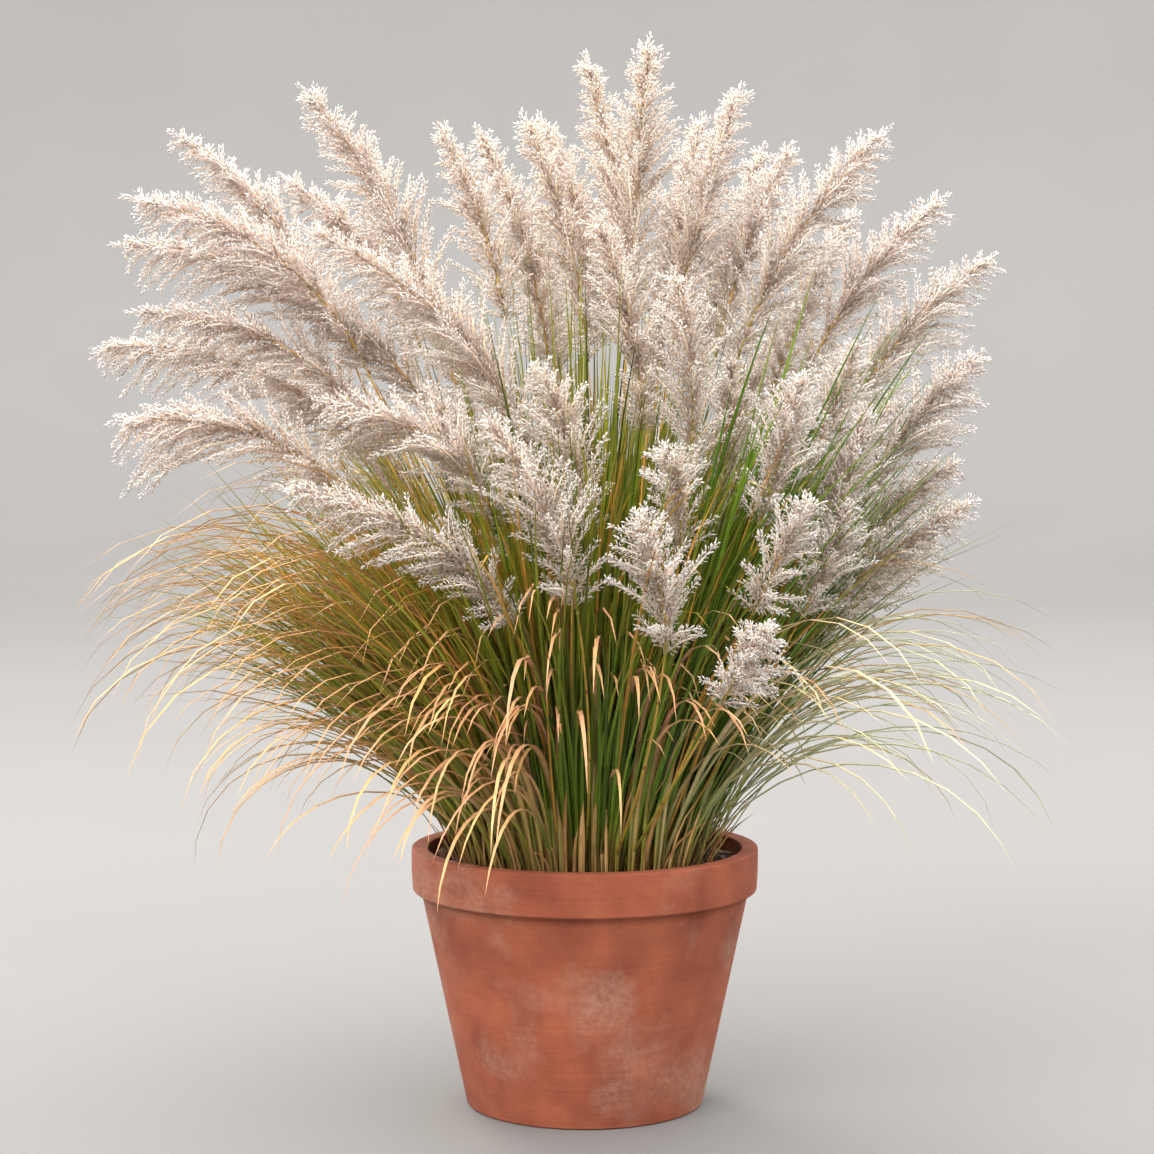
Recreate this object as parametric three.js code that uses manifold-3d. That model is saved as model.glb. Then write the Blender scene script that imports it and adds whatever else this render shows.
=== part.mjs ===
// Potted ornamental grass: a dense clump of green blades, arching straw leaves and
// tall culms, each ending in a feathery panicle, growing in a plain round pot.
// Millimetres, +Z up. The origin is the centre of the pot's flat base, and the front is -Y.
import * as THREE from "three";
import { mergeVertices } from "three/addons/utils/BufferGeometryUtils.js";
import Module from "manifold-3d";

// Driving dimensions. Angles are in degrees, and a pair is a range that a seeded draw picks from.
const POT = {
  height: 330,
  baseRadius: 152,
  rimRadius: 222,
  rimHeight: 56,
  wall: 10,
  lip: 12,
  floor: 15,
  edge: 5,
  segments: 36,
};
const DRAIN = { count: 4, radius: 8, circle: 84, sides: 10 };
const SOIL_LEVEL = 312; // height of the soil at the crown, above the floor
// The soil's top sinks between crumbs, which are waves that go round the pot this many times and
// slant outwards by so much a millimetre.
const CRUMB = { sink: 4, height: 1.6, rows: [0, 0.5, 1], waves: [13, 23, 37], slants: [0.4, -0.3, 0] };
const GAP = 0.3; // clearance between pieces that touch
const CROWN = { radius: 140, depth: 42, rise: 12, dome: 4, shoulder: 0.8, segments: 18 };
const RING = { inner: CROWN.radius + 0.4, outer: 172, crest: 0.55, rise: 5 };

// Culms grow from the crown, further from its middle the further out their plume stands, and
// reach the edge of their spread for plumes at fullSpreadAt from the axis.
const CULM = {
  rootSpread: 112,
  rootDepth: 7,
  fullSpreadAt: 330,
  rootRadius: 2.2,
  topRadius: 1.3,
  sides: 3,
  steps: 3,
};
const NOD = { share: 0.28, culmPull: 0.45, axisPull: 0.5 }; // how far a plume's foot turns to its tip

// A panicle's sprays: their reach is a share of its half width, set at its foot, where it is
// widest and at its tip, and they lean forward from square to its axis.
const PANICLE = { sides: 6, rings: 10, firstRing: 0.03, lastRing: 0.93, core: 0.17, slimmest: 2.2 };
const SPRAY = {
  foot: 0.62,
  widestAt: 0.22,
  tip: 0.16,
  taper: 1.15,
  jitter: [0.82, 1.12],
  lean: [29, 37],
  tipStretch: 0.55,
};

// Folded blades: lean is the angle from upright at the root, and bend is what it gains by the tip.
const BLADE = { rootDepth: 7, room: 1.5, sheathWidth: 0.62, widestAt: 0.25, tipWidth: 0.12, taper: 1.4 };
const GREEN = {
  count: 122,
  rootSpread: 122,
  length: [410, 620],
  width: [8.8, 12.6],
  keel: 2,
  steps: 3,
  lean: [-2, 6],
  edgeLean: [19, 29],
  bend: 4,
  edgeBend: [10, 46],
  curl: 1.6,
  drift: [-0.12, 0.12],
};
// Straw leaves crowd to the left. Those in front are short and upright, and bend over late.
const STRAW = {
  count: 76,
  crowding: 0.36,
  rootRadius: [150, 165],
  length: [390, 625],
  frontLength: [300, 430],
  width: [7.5, 12],
  keel: 2,
  steps: 6,
  lean: [10, 32],
  frontLean: [2, 14],
  bend: [108, 140],
  curl: [1, 1.4],
  frontCurl: [1.7, 2.6],
  drift: [-0.16, 0.16],
};
const STUBBLE = {
  count: 20,
  rootRadius: 160,
  length: [66, 142],
  width: 7,
  keel: 2,
  steps: 2,
  lean: [2, 16],
  bend: [0, 30],
  curl: 1.5,
};

// The eye that the plumes were laid out from: a point at this distance in front of the
// plant's own plane and this height above the soil.
const VIEW = { distance: 3400, height: 575 };

const DEG = Math.PI / 180;
const GOLDEN_ANGLE = Math.PI * (3 - Math.sqrt(5));
const FINE_HOPS = 6; // a blade's curve is stepped this many times finer than its faces
const SCATTER = 0.6; // how far a leaf of the ring strays from an even spacing
const SEED = { green: 11, straw: 23, stubble: 37, panicle: 101 };

// Every plume as seen from that eye, in the plane of the pot's axis: the tip's distance
// across and height over the soil, the same for the lowest point of its panicle that shows,
// how far behind that plane the tip and the foot are, and the panicle's half width.
const PLUMES = {
  crest_1: { tip: [-186, 935], foot: [-122, 750], depth: [60, 40], half: 50 },
  crest_2: { tip: [-137, 933], foot: [-70, 715], depth: [185, 140], half: 48 },
  crest_3: { tip: [-80, 950], foot: [-18, 720], depth: [30, 15], half: 49 },
  crest_4: { tip: [-58, 948], foot: [2, 735], depth: [165, 120], half: 46 },
  crest_5: { tip: [0, 1025], foot: [38, 770], depth: [70, 60], half: 49 },
  crest_6: { tip: [82, 1045], foot: [62, 790], depth: [-30, -20], half: 57 },
  crest_7: { tip: [150, 950], foot: [112, 735], depth: [165, 110], half: 48 },
  crest_8: { tip: [198, 985], foot: [135, 745], depth: [30, 20], half: 55 },
  crest_9: { tip: [228, 910], foot: [170, 700], depth: [200, 130], half: 46 },
  crest_10: { tip: [263, 913], foot: [192, 715], depth: [105, 60], half: 48 },
  crest_11: { tip: [385, 933], foot: [240, 705], depth: [0, -10], half: 59 },
  right_1: { tip: [342, 828], foot: [262, 650], depth: [200, 120], half: 48 },
  right_2: { tip: [460, 847], foot: [315, 655], depth: [85, 50], half: 55 },
  right_3: { tip: [520, 772], foot: [365, 595], depth: [-15, -15], half: 57 },
  right_4: { tip: [505, 650], foot: [375, 490], depth: [-105, -85], half: 57 },
  right_5: { tip: [478, 510], foot: [350, 395], depth: [-40, -50], half: 48 },
  right_6: { tip: [500, 460], foot: [352, 345], depth: [-150, -130], half: 43 },
  right_7: { tip: [450, 413], foot: [322, 300], depth: [40, 20], half: 41 },
  left_1: { tip: [-523, 927], foot: [-362, 745], depth: [175, 150], half: 46 },
  left_2: { tip: [-585, 845], foot: [-350, 690], depth: [-60, -50], half: 52 },
  left_3: { tip: [-600, 785], foot: [-340, 655], depth: [60, 50], half: 55 },
  left_4: { tip: [-580, 700], foot: [-335, 580], depth: [-40, -30], half: 52 },
  left_5: { tip: [-625, 652], foot: [-400, 575], depth: [175, 140], half: 50 },
  left_6: { tip: [-605, 558], foot: [-368, 480], depth: [-140, -120], half: 62 },
  left_7: { tip: [-360, 985], foot: [-215, 725], depth: [10, 10], half: 57 },
  left_8: { tip: [-385, 872], foot: [-245, 700], depth: [115, 90], half: 48 },
  left_9: { tip: [-368, 810], foot: [-125, 560], depth: [-140, -120], half: 59 },
  left_10: { tip: [-400, 750], foot: [-215, 560], depth: [8, -2], half: 50 },
  left_11: { tip: [-430, 630], foot: [-250, 470], depth: [80, 55], half: 50 },
  front_1: { tip: [-345, 588], foot: [-118, 445], depth: [-270, -240], half: 59 },
  front_2: { tip: [-215, 610], foot: [-88, 380], depth: [-200, -160], half: 50 },
  front_3: { tip: [-130, 570], foot: [-10, 315], depth: [-350, -320], half: 57 },
  front_4: { tip: [-63, 633], foot: [2, 420], depth: [-240, -220], half: 59 },
  front_5: { tip: [10, 822], foot: [73, 545], depth: [-130, -120], half: 55 },
  front_6: { tip: [112, 753], foot: [133, 490], depth: [-220, -190], half: 55 },
  front_7: { tip: [186, 647], foot: [165, 420], depth: [-120, -110], half: 48 },
  front_8: { tip: [277, 622], foot: [220, 425], depth: [-290, -250], half: 55 },
  front_9: { tip: [347, 665], foot: [275, 470], depth: [-175, -150], half: 52 },
  front_10: { tip: [285, 465], foot: [213, 315], depth: [-390, -330], half: 48 },
  front_11: { tip: [98, 531], foot: [120, 390], depth: [-330, -280], half: 46 },
  front_12: { tip: [61, 447], foot: [101, 265], depth: [-430, -370], half: 57 },
  front_13: { tip: [232, 302], foot: [173, 200], depth: [-500, -390], half: 43 },
  front_14: { tip: [355, 580], foot: [295, 385], depth: [-215, -200], half: 50 },
  front_15: { tip: [335, 460], foot: [275, 310], depth: [-265, -230], half: 46 },
  front_16: { tip: [-395, 478], foot: [-90, 295], depth: [-330, -300], half: 50 },
  rear_1: { tip: [-60, 830], foot: [-35, 600], depth: [330, 220], half: 52 },
  rear_2: { tip: [-230, 780], foot: [-150, 570], depth: [300, 200], half: 52 },
  rear_3: { tip: [140, 790], foot: [85, 570], depth: [360, 250], half: 52 },
  rear_4: { tip: [290, 720], foot: [190, 530], depth: [320, 220], half: 52 },
  rear_5: { tip: [-370, 650], foot: [-240, 460], depth: [260, 180], half: 52 },
  rear_6: { tip: [400, 590], foot: [280, 420], depth: [230, 160], half: 52 },
  rear_7: { tip: [-120, 610], foot: [-85, 410], depth: [470, 330], half: 52 },
  rear_8: { tip: [110, 570], foot: [75, 370], depth: [500, 350], half: 52 },
  rear_9: { tip: [-310, 480], foot: [-210, 320], depth: [390, 280], half: 52 },
  rear_10: { tip: [290, 450], foot: [200, 300], depth: [420, 300], half: 52 },
  rear_11: { tip: [-10, 400], foot: [-5, 240], depth: [520, 390], half: 52 },
};

// The plumes in front hide the feet of those behind, whose panicles go on below what shows by
// this share of it.
const HIDDEN = { crest: 0.36, right: 0.3, left: 0.26, front: 0, rear: 0.2 };

// A repeatable stream of numbers from 0 to 1.
function seededDraw(seed) {
  let state = seed >>> 0;
  return () => {
    state = (state + 0x6d2b79f5) >>> 0;
    let mixed = Math.imul(state ^ (state >>> 15), state | 1);
    mixed ^= mixed + Math.imul(mixed ^ (mixed >>> 7), mixed | 61);
    return ((mixed ^ (mixed >>> 14)) >>> 0) / 4294967296;
  };
}

const mix = (a, b, share) => a + (b - a) * share;
const between = ([low, high], draw) => mix(low, high, draw());
const UP = new THREE.Vector3(0, 0, 1);
const solids = await Module();
solids.setup();

// A closed three.js geometry as a solid that can be joined and cut.
function toSolid(geometry) {
  const bare = geometry.clone();
  bare.deleteAttribute("normal");
  bare.deleteAttribute("uv");
  const merged = mergeVertices(bare, 1e-3);
  const corners = merged.index.array;
  const kept = [];
  for (let i = 0; i < corners.length; i += 3) {
    const [a, b, c] = [corners[i], corners[i + 1], corners[i + 2]];
    if (a !== b && b !== c && c !== a) kept.push(a, b, c);
  }
  const mesh = new solids.Mesh({
    numProp: 3,
    vertProperties: new Float32Array(merged.attributes.position.array),
    triVerts: new Uint32Array(kept),
  });
  return new solids.Manifold(mesh);
}

// A joined or cut solid as a three.js geometry.
function toGeometry(solid) {
  const { numProp, numVert, vertProperties, triVerts } = solid.getMesh();
  const positions = new Float32Array(numVert * 3);
  for (let i = 0; i < numVert; i++) {
    positions.set(vertProperties.subarray(i * numProp, i * numProp + 3), i * 3);
  }
  const geometry = new THREE.BufferGeometry();
  geometry.setAttribute("position", new THREE.BufferAttribute(positions, 3));
  geometry.setIndex(new THREE.BufferAttribute(new Uint32Array(triVerts), 1));
  geometry.computeVertexNormals();
  return geometry;
}

// The largest body of a solid, without loose scraps.
function wholeBody(solid) {
  const bodies = solid.decompose();
  return bodies.reduce((best, body) => (body.volume() > best.volume() ? body : best));
}

// A geometry from plain lists of points and triangles.
function fromLists(points, triangles) {
  const geometry = new THREE.BufferGeometry();
  geometry.setAttribute("position", new THREE.Float32BufferAttribute(points.flatMap((p) => p.toArray()), 3));
  geometry.setIndex(triangles.flat());
  return geometry;
}

// A turned body from a profile of [radius, height] points, standing on +Z.
function turned(profile, segments) {
  const points = profile.map(([radius, height]) => new THREE.Vector2(radius, height));
  return new THREE.LatheGeometry(points, segments).rotateX(Math.PI / 2);
}

// A point given as seen from the eye, moved back to its depth along the line of sight.
function placed([across, height], depth) {
  const share = (VIEW.distance + depth) / VIEW.distance;
  return new THREE.Vector3(across * share, depth, SOIL_LEVEL + mix(VIEW.height, height, share));
}

// A plume's culm and the axis of its panicle, as two curves that share one direction at the foot.
function plumeCurves({ tip, foot, depth }, hidden) {
  const top = placed(tip, depth[0]);
  const base = placed(foot, depth[1]);
  base.lerp(top, -hidden);
  const outward = new THREE.Vector3(base.x, base.y, 0);
  const rootRadius = CULM.rootSpread * Math.min(1, outward.length() / CULM.fullSpreadAt);
  const root = outward.clone().setLength(rootRadius).setZ(SOIL_LEVEL - CULM.rootDepth);
  const rise = base.clone().sub(root);
  const run = top.clone().sub(base);
  const heading = rise.clone().normalize().lerp(run.clone().normalize(), NOD.share).normalize();
  const culmBend = base.clone().addScaledVector(heading, -NOD.culmPull * rise.length());
  const axisBend = base.clone().addScaledVector(heading, NOD.axisPull * run.length());
  return {
    culm: new THREE.QuadraticBezierCurve3(root, culmBend, base),
    axis: new THREE.QuadraticBezierCurve3(base, axisBend, top),
    heading,
  };
}

// Two directions square to a heading, the first of them level.
function crossways(heading) {
  const side = new THREE.Vector3().crossVectors(UP, heading);
  if (side.lengthSq() < 1e-6) side.set(1, 0, 0);
  side.normalize();
  return [side, new THREE.Vector3().crossVectors(heading, side).normalize()];
}

// How far a panicle's sprays stand out at a share of its length, as a share of its half width.
function sprayReach(share) {
  const { foot, widestAt, tip, taper } = SPRAY;
  if (share < widestAt) return mix(foot, 1, share / widestAt);
  return mix(1, tip, ((share - widestAt) / (1 - widestAt)) ** taper);
}

// A panicle: a slim core whose skin is raised into pointed sprays, every second corner of each
// ring drawn out and forward, with the corners staggered from ring to ring. Sprays near the tip
// lie closer to the axis, so that they don't pass the tip.
function panicleGeometry({ axis, heading }, half, draw) {
  const points = [];
  const triangles = [];
  const { sides, rings, firstRing, lastRing, core, slimmest } = PANICLE;
  for (let ring = 0; ring < rings; ring++) {
    const share = ring === 0 ? 0 : mix(firstRing, lastRing, ring / (rings - 1));
    const tangent = axis.getTangent(share);
    const centre = axis.getPoint(share).addScaledVector(tangent, ring === 0 ? GAP : 0);
    const [side, lift] = crossways(tangent);
    const coreRadius = Math.max(slimmest, half * core * sprayReach(share));
    for (let corner = 0; corner < sides; corner++) {
      const turn = ((corner + 0.5) / sides) * 2 * Math.PI;
      const out = side.clone().multiplyScalar(Math.cos(turn)).addScaledVector(lift, Math.sin(turn));
      let [reach, forward] = [coreRadius, 0];
      if (ring > 0 && (corner + ring) % 2 === 0) {
        reach = half * sprayReach(share) * between(SPRAY.jitter, draw);
        const slope = Math.tan(between(SPRAY.lean, draw) * DEG);
        forward = ((reach - coreRadius) / slope) * mix(1, SPRAY.tipStretch, share);
      }
      points.push(centre.clone().addScaledVector(out, reach).addScaledVector(tangent, forward));
    }
  }
  for (let ring = 0; ring + 1 < rings; ring++) {
    for (let corner = 0; corner < sides; corner++) {
      const a = ring * sides + corner;
      const b = ring * sides + ((corner + 1) % sides);
      const [c, d] = [a + sides, b + sides];
      // The diagonal joins the two corners that stay on the core.
      if ((corner + ring) % 2 === 0) triangles.push([a, b, c], [b, d, c]);
      else triangles.push([a, b, d], [a, d, c]);
    }
  }
  const tip = points.push(axis.getPoint(1)) - 1;
  const last = (rings - 1) * sides;
  for (let corner = 0; corner < sides; corner++) {
    triangles.push([last + corner, last + ((corner + 1) % sides), tip]);
  }
  for (let corner = 1; corner + 1 < sides; corner++) triangles.push([0, corner + 1, corner]);
  return fromLists(points, triangles);
}

// A tube with flat ends along a list of points, its radius going from first to last.
function tube(points, firstRadius, lastRadius, sides) {
  const corners = [];
  const triangles = [];
  points.forEach((point, i) => {
    const before = points[Math.max(0, i - 1)];
    const after = points[Math.min(points.length - 1, i + 1)];
    const [side, lift] = crossways(after.clone().sub(before).normalize());
    const radius = mix(firstRadius, lastRadius, i / (points.length - 1));
    for (let corner = 0; corner < sides; corner++) {
      const turn = (corner / sides) * 2 * Math.PI;
      corners.push(
        point
          .clone()
          .addScaledVector(side, radius * Math.cos(turn))
          .addScaledVector(lift, radius * Math.sin(turn)),
      );
    }
  });
  for (let i = 0; i + 1 < points.length; i++) {
    for (let corner = 0; corner < sides; corner++) {
      const a = i * sides + corner;
      const b = i * sides + ((corner + 1) % sides);
      triangles.push([a, b, a + sides], [b, b + sides, a + sides]);
    }
  }
  const last = (points.length - 1) * sides;
  for (let corner = 1; corner + 1 < sides; corner++) {
    triangles.push([0, corner + 1, corner], [last, last + corner, last + corner + 1]);
  }
  return fromLists(corners, triangles);
}

// A blade's path: it starts leaning from upright by lean and bends over by bend along its length.
function bladePath({ azimuth, rootRadius, lean, bend, curl, drift, length, steps }) {
  const at = new THREE.Vector3(rootRadius * Math.cos(azimuth), rootRadius * Math.sin(azimuth), 0);
  at.z = SOIL_LEVEL - BLADE.rootDepth;
  const path = [at.clone()];
  const hops = steps * FINE_HOPS;
  for (let i = 1; i <= hops; i++) {
    const share = (i - 0.5) / hops;
    const tilt = lean + bend * share ** curl;
    const heading = azimuth + drift * share;
    const hop = new THREE.Vector3(Math.cos(heading), Math.sin(heading), 0).multiplyScalar(Math.sin(tilt));
    at.addScaledVector(hop.setZ(Math.cos(tilt)), length / hops);
    if (i % FINE_HOPS === 0) path.push(at.clone());
  }
  return path;
}

// A blade's width at a share of its length: narrow at the sheath, widest low down, pointed.
function bladeWidth(share) {
  const { sheathWidth, widestAt, tipWidth, taper } = BLADE;
  if (share < widestAt) return mix(sheathWidth, 1, share / widestAt);
  return mix(1, tipWidth, ((share - widestAt) / (1 - widestAt)) ** taper);
}

// A folded blade: two edges and a keel under them at each step, ending in a point. It can be
// made thicker all round by spare.
function bladeGeometry(blade, spare) {
  const { azimuth, width, keel, steps } = blade;
  const path = bladePath(blade);
  const across = new THREE.Vector3(-Math.sin(azimuth), Math.cos(azimuth), 0);
  const points = [];
  const triangles = [];
  for (let i = 0; i < steps; i++) {
    const share = i / steps;
    const ahead = path[i + 1].clone().sub(path[Math.max(0, i - 1)]).normalize();
    const under = new THREE.Vector3().crossVectors(across, ahead).normalize();
    const half = (width / 2) * bladeWidth(share) + spare;
    const above = path[i].clone().addScaledVector(under, -spare);
    points.push(
      above.clone().addScaledVector(across, half),
      above.clone().addScaledVector(across, -half),
      path[i].clone().addScaledVector(under, keel * mix(1, 0.5, share) + spare),
    );
    if (i === 0) {
      triangles.push([0, 2, 1]);
      continue;
    }
    for (let corner = 0; corner < 3; corner++) {
      const a = (i - 1) * 3 + corner;
      const b = (i - 1) * 3 + ((corner + 1) % 3);
      triangles.push([a, b, a + 3], [b, b + 3, a + 3]);
    }
  }
  const tip = points.push(path[steps].clone()) - 1;
  const last = (steps - 1) * 3;
  for (let corner = 0; corner < 3; corner++) triangles.push([last + corner, last + ((corner + 1) % 3), tip]);
  return fromLists(points, triangles);
}

// The green blades, from the crown's middle to its edge: the outer ones lean further out, and
// furthest to the left.
function greenBlades() {
  const draw = seededDraw(SEED.green);
  return Array.from({ length: GREEN.count }, (_, i) => {
    const share = Math.sqrt((i + 0.5) / GREEN.count);
    const azimuth = i * GOLDEN_ANGLE + between(GREEN.drift, draw);
    const leftward = Math.max(0, -Math.cos(azimuth));
    const lean = between(GREEN.lean, draw) + share * mix(...GREEN.edgeLean, leftward);
    return {
      azimuth,
      rootRadius: GREEN.rootSpread * share,
      lean: lean * DEG,
      bend: (GREEN.bend + share * between(GREEN.edgeBend, draw)) * DEG,
      curl: GREEN.curl,
      drift: between(GREEN.drift, draw),
      length: mix(...GREEN.length, 1 - share * draw()),
      width: between(GREEN.width, draw),
      keel: GREEN.keel,
      steps: GREEN.steps,
    };
  });
}

// The straw leaves of the outer ring, which rise, arch over and hang, longest to the sides.
function strawLeaves() {
  const draw = seededDraw(SEED.straw);
  return Array.from({ length: STRAW.count }, (_, i) => {
    const turn = ((i + SCATTER * draw()) / STRAW.count) * 2 * Math.PI;
    const azimuth = turn + STRAW.crowding * Math.sin(turn);
    const front = Math.max(0, -Math.sin(azimuth)) ** 2;
    const drawn = (usual, inFront) => mix(between(usual, draw), between(inFront, draw), front);
    return {
      azimuth,
      rootRadius: between(STRAW.rootRadius, draw),
      lean: drawn(STRAW.lean, STRAW.frontLean) * DEG,
      bend: between(STRAW.bend, draw) * DEG,
      curl: drawn(STRAW.curl, STRAW.frontCurl),
      drift: between(STRAW.drift, draw),
      length: drawn(STRAW.length, STRAW.frontLength),
      width: between(STRAW.width, draw),
      keel: STRAW.keel,
      steps: STRAW.steps,
    };
  });
}

// Short dry sheaths at the foot of the clump.
function stubbleSheaths() {
  const draw = seededDraw(SEED.stubble);
  return Array.from({ length: STUBBLE.count }, (_, i) => ({
    azimuth: ((i + SCATTER * draw()) / STUBBLE.count) * 2 * Math.PI,
    rootRadius: STUBBLE.rootRadius,
    lean: between(STUBBLE.lean, draw) * DEG,
    bend: between(STUBBLE.bend, draw) * DEG,
    curl: STUBBLE.curl,
    drift: 0,
    length: between(STUBBLE.length, draw),
    width: STUBBLE.width,
    keel: STUBBLE.keel,
    steps: STUBBLE.steps,
  }));
}

// A root with the blades that stand clear of the obstacles, joined in one body.
function joinBlades(root, blades, obstacles) {
  const joined = [root];
  for (const blade of blades) {
    const room = toSolid(bladeGeometry(blade, BLADE.room));
    if (obstacles.some((obstacle) => room.intersect(obstacle).volume() > 0)) continue;
    joined.push(toSolid(bladeGeometry(blade, 0)));
  }
  return wholeBody(solids.Manifold.union(joined));
}

// The pot: a tapered wall with a thick rim band, a floor and drain holes.
function potGeometry() {
  const { height, baseRadius, rimRadius, rimHeight, wall, lip, floor, edge } = POT;
  const underRim = height - rimHeight;
  const neck = rimRadius - lip;
  const profile = [
    [0, 0],
    [baseRadius - edge, 0],
    [baseRadius, edge],
    [neck, underRim],
    [rimRadius - edge / 2, underRim + edge / 2],
    [rimRadius, underRim + edge],
    [rimRadius, height - edge],
    [rimRadius - edge, height],
    [neck - wall + edge, height],
    [neck - wall, height - edge],
    [neck - wall, underRim],
    [baseRadius - wall, floor],
    [0, floor],
  ];
  let pot = toSolid(turned(profile, POT.segments));
  for (let i = 0; i < DRAIN.count; i++) {
    const turn = ((i + 0.5) / DRAIN.count) * 2 * Math.PI;
    const hole = new THREE.CylinderGeometry(DRAIN.radius, DRAIN.radius, floor * 3, DRAIN.sides);
    hole.rotateX(Math.PI / 2);
    hole.translate(DRAIN.circle * Math.cos(turn), DRAIN.circle * Math.sin(turn), floor / 2);
    pot = pot.subtract(toSolid(hole));
  }
  return toGeometry(pot);
}

// The soil: it fills the pot, leaves a plain hole for the crown, and its top is raised in crumbs.
function soilGeometry() {
  const { baseRadius, rimRadius, rimHeight, height, wall, lip, floor } = POT;
  const underRim = height - rimHeight;
  const wallInside = rimRadius - lip - wall - 2 * GAP;
  const holeRadius = RING.outer + GAP;
  const holeFloor = SOIL_LEVEL - CROWN.depth - GAP;
  const top = SOIL_LEVEL;
  const rows = CRUMB.rows.map((share) => [mix(holeRadius, wallInside, share), top]);
  const profile = [
    [0, floor + GAP],
    [baseRadius - wall - 2 * GAP, floor + GAP],
    [wallInside, underRim - GAP],
    ...rows.reverse(),
    [holeRadius, holeFloor],
    [0, holeFloor],
  ];
  const soil = turned(profile, POT.segments);
  const position = soil.attributes.position;
  for (let i = 0; i < position.count; i++) {
    if (position.getZ(i) < top - 0.01) continue;
    const [x, y] = [position.getX(i), position.getY(i)];
    const turn = Math.atan2(y, x);
    const radius = Math.hypot(x, y);
    const rises = CRUMB.waves.map((wave, row) => Math.sin(wave * turn + CRUMB.slants[row] * radius));
    const crumb = rises.reduce((sum, rise) => sum + rise);
    position.setZ(i, top - CRUMB.sink + CRUMB.height * crumb);
  }
  return soil;
}

// The crown that the green blades and the culms grow from.
function crownGeometry() {
  const { radius, depth, rise, dome, shoulder } = CROWN;
  const profile = [
    [0, -depth],
    [radius, -depth],
    [radius, 0],
    [radius * shoulder, rise],
    [0, rise + dome],
  ];
  return turned(profile, CROWN.segments).translate(0, 0, SOIL_LEVEL);
}

// The ring of old sheaths round the crown that the straw leaves grow from.
function sheathRingGeometry() {
  const { inner, outer, crest, rise } = RING;
  const profile = [
    [inner, -CROWN.depth],
    [outer, -CROWN.depth],
    [outer, 0],
    [mix(inner, outer, crest), rise],
    [inner, 1],
    [inner, -CROWN.depth],
  ];
  return turned(profile, CROWN.segments).translate(0, 0, SOIL_LEVEL);
}

const COLOURS = {
  pot: [0xb5674a, 0.85],
  soil: [0x3b2d26, 0.95],
  leafy_clump: [0x5d7a2c, 0.6],
  straw_leaves: [0xcfa668, 0.65],
  panicle: [0xe6cfc3, 0.8],
};

function material(kind) {
  const [color, roughness] = COLOURS[kind];
  return new THREE.MeshStandardMaterial({ color, roughness, metalness: 0, flatShading: true });
}

function named(name, geometry, kind) {
  const mesh = new THREE.Mesh(geometry, material(kind));
  mesh.name = name;
  return mesh;
}

const grass = new THREE.Group();
const pot = potGeometry();
const soil = soilGeometry();
grass.add(named("pot", pot, "pot"));
grass.add(named("soil", soil, "soil"));

// The panicles, one mesh for each plume, and the culms that carry them.
const panicleSolids = [];
const crownPieces = [toSolid(crownGeometry())];
Object.entries(PLUMES).forEach(([name, plume], index) => {
  const curves = plumeCurves(plume, HIDDEN[name.split("_")[0]]);
  const panicle = panicleGeometry(curves, plume.half, seededDraw(SEED.panicle + index));
  grass.add(named(`panicle_${name}`, panicle, "panicle"));
  panicleSolids.push(toSolid(panicle));
  const path = curves.culm.getPoints(CULM.steps);
  crownPieces.push(toSolid(tube(path, CULM.rootRadius, CULM.topRadius, CULM.sides)));
});

const flowers = solids.Manifold.union(panicleSolids);
const crown = solids.Manifold.union(crownPieces);
const clump = joinBlades(crown, greenBlades(), [flowers]);
grass.add(named("leafy_clump", toGeometry(clump), "leafy_clump"));

const ringObstacles = [flowers, clump, toSolid(soil), toSolid(pot)];
const ringBlades = [...strawLeaves(), ...stubbleSheaths()];
const straw = joinBlades(toSolid(sheathRingGeometry()), ringBlades, ringObstacles);
grass.add(named("straw_leaves", toGeometry(straw), "straw_leaves"));

export default grass;
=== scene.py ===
"""Looks of a potted ornamental grass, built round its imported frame.

The clump has a dense fan of green blades, arching straw leaves, golden culms and feathery
panicles, and grows in a plain clay pot with bark mulch on its soil. Lengths are metres, the
front is -Y and +Z is up.
"""

from __future__ import annotations

import logging
import math
from collections.abc import Sequence
from dataclasses import dataclass, field
from enum import Enum

import bpy
import numpy as np
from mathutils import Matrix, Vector


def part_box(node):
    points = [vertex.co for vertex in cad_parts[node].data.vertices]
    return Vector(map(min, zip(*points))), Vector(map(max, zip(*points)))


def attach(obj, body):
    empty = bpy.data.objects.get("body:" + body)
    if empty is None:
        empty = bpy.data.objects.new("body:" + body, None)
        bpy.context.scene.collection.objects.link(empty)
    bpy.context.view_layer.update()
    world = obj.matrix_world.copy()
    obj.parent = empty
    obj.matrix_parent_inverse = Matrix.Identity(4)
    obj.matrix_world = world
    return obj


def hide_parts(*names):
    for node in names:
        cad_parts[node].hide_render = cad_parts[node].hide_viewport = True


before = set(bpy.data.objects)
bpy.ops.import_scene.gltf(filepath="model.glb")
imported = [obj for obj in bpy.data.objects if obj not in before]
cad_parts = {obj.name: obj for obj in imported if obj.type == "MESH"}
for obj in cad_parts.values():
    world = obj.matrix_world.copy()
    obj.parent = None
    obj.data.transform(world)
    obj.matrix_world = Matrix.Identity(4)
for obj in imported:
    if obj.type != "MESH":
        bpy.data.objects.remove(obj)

LOG = logging.getLogger("grass")
BODY = "root"
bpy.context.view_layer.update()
UP = np.array([0.0, 0.0, 1.0])
GOLDEN_ANGLE = math.pi * (3 - math.sqrt(5))
ROUND_SIDES = 96

CROWN_DEPTH = 0.042
CROWN_RADIUS = 0.140
SOIL_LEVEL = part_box("leafy_clump")[0].z + CROWN_DEPTH

# The eye that the plumes were laid out from, in front of the plant's own plane and over its soil.
EYE_DISTANCE = 3.4
EYE_HEIGHT = 0.575

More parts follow.
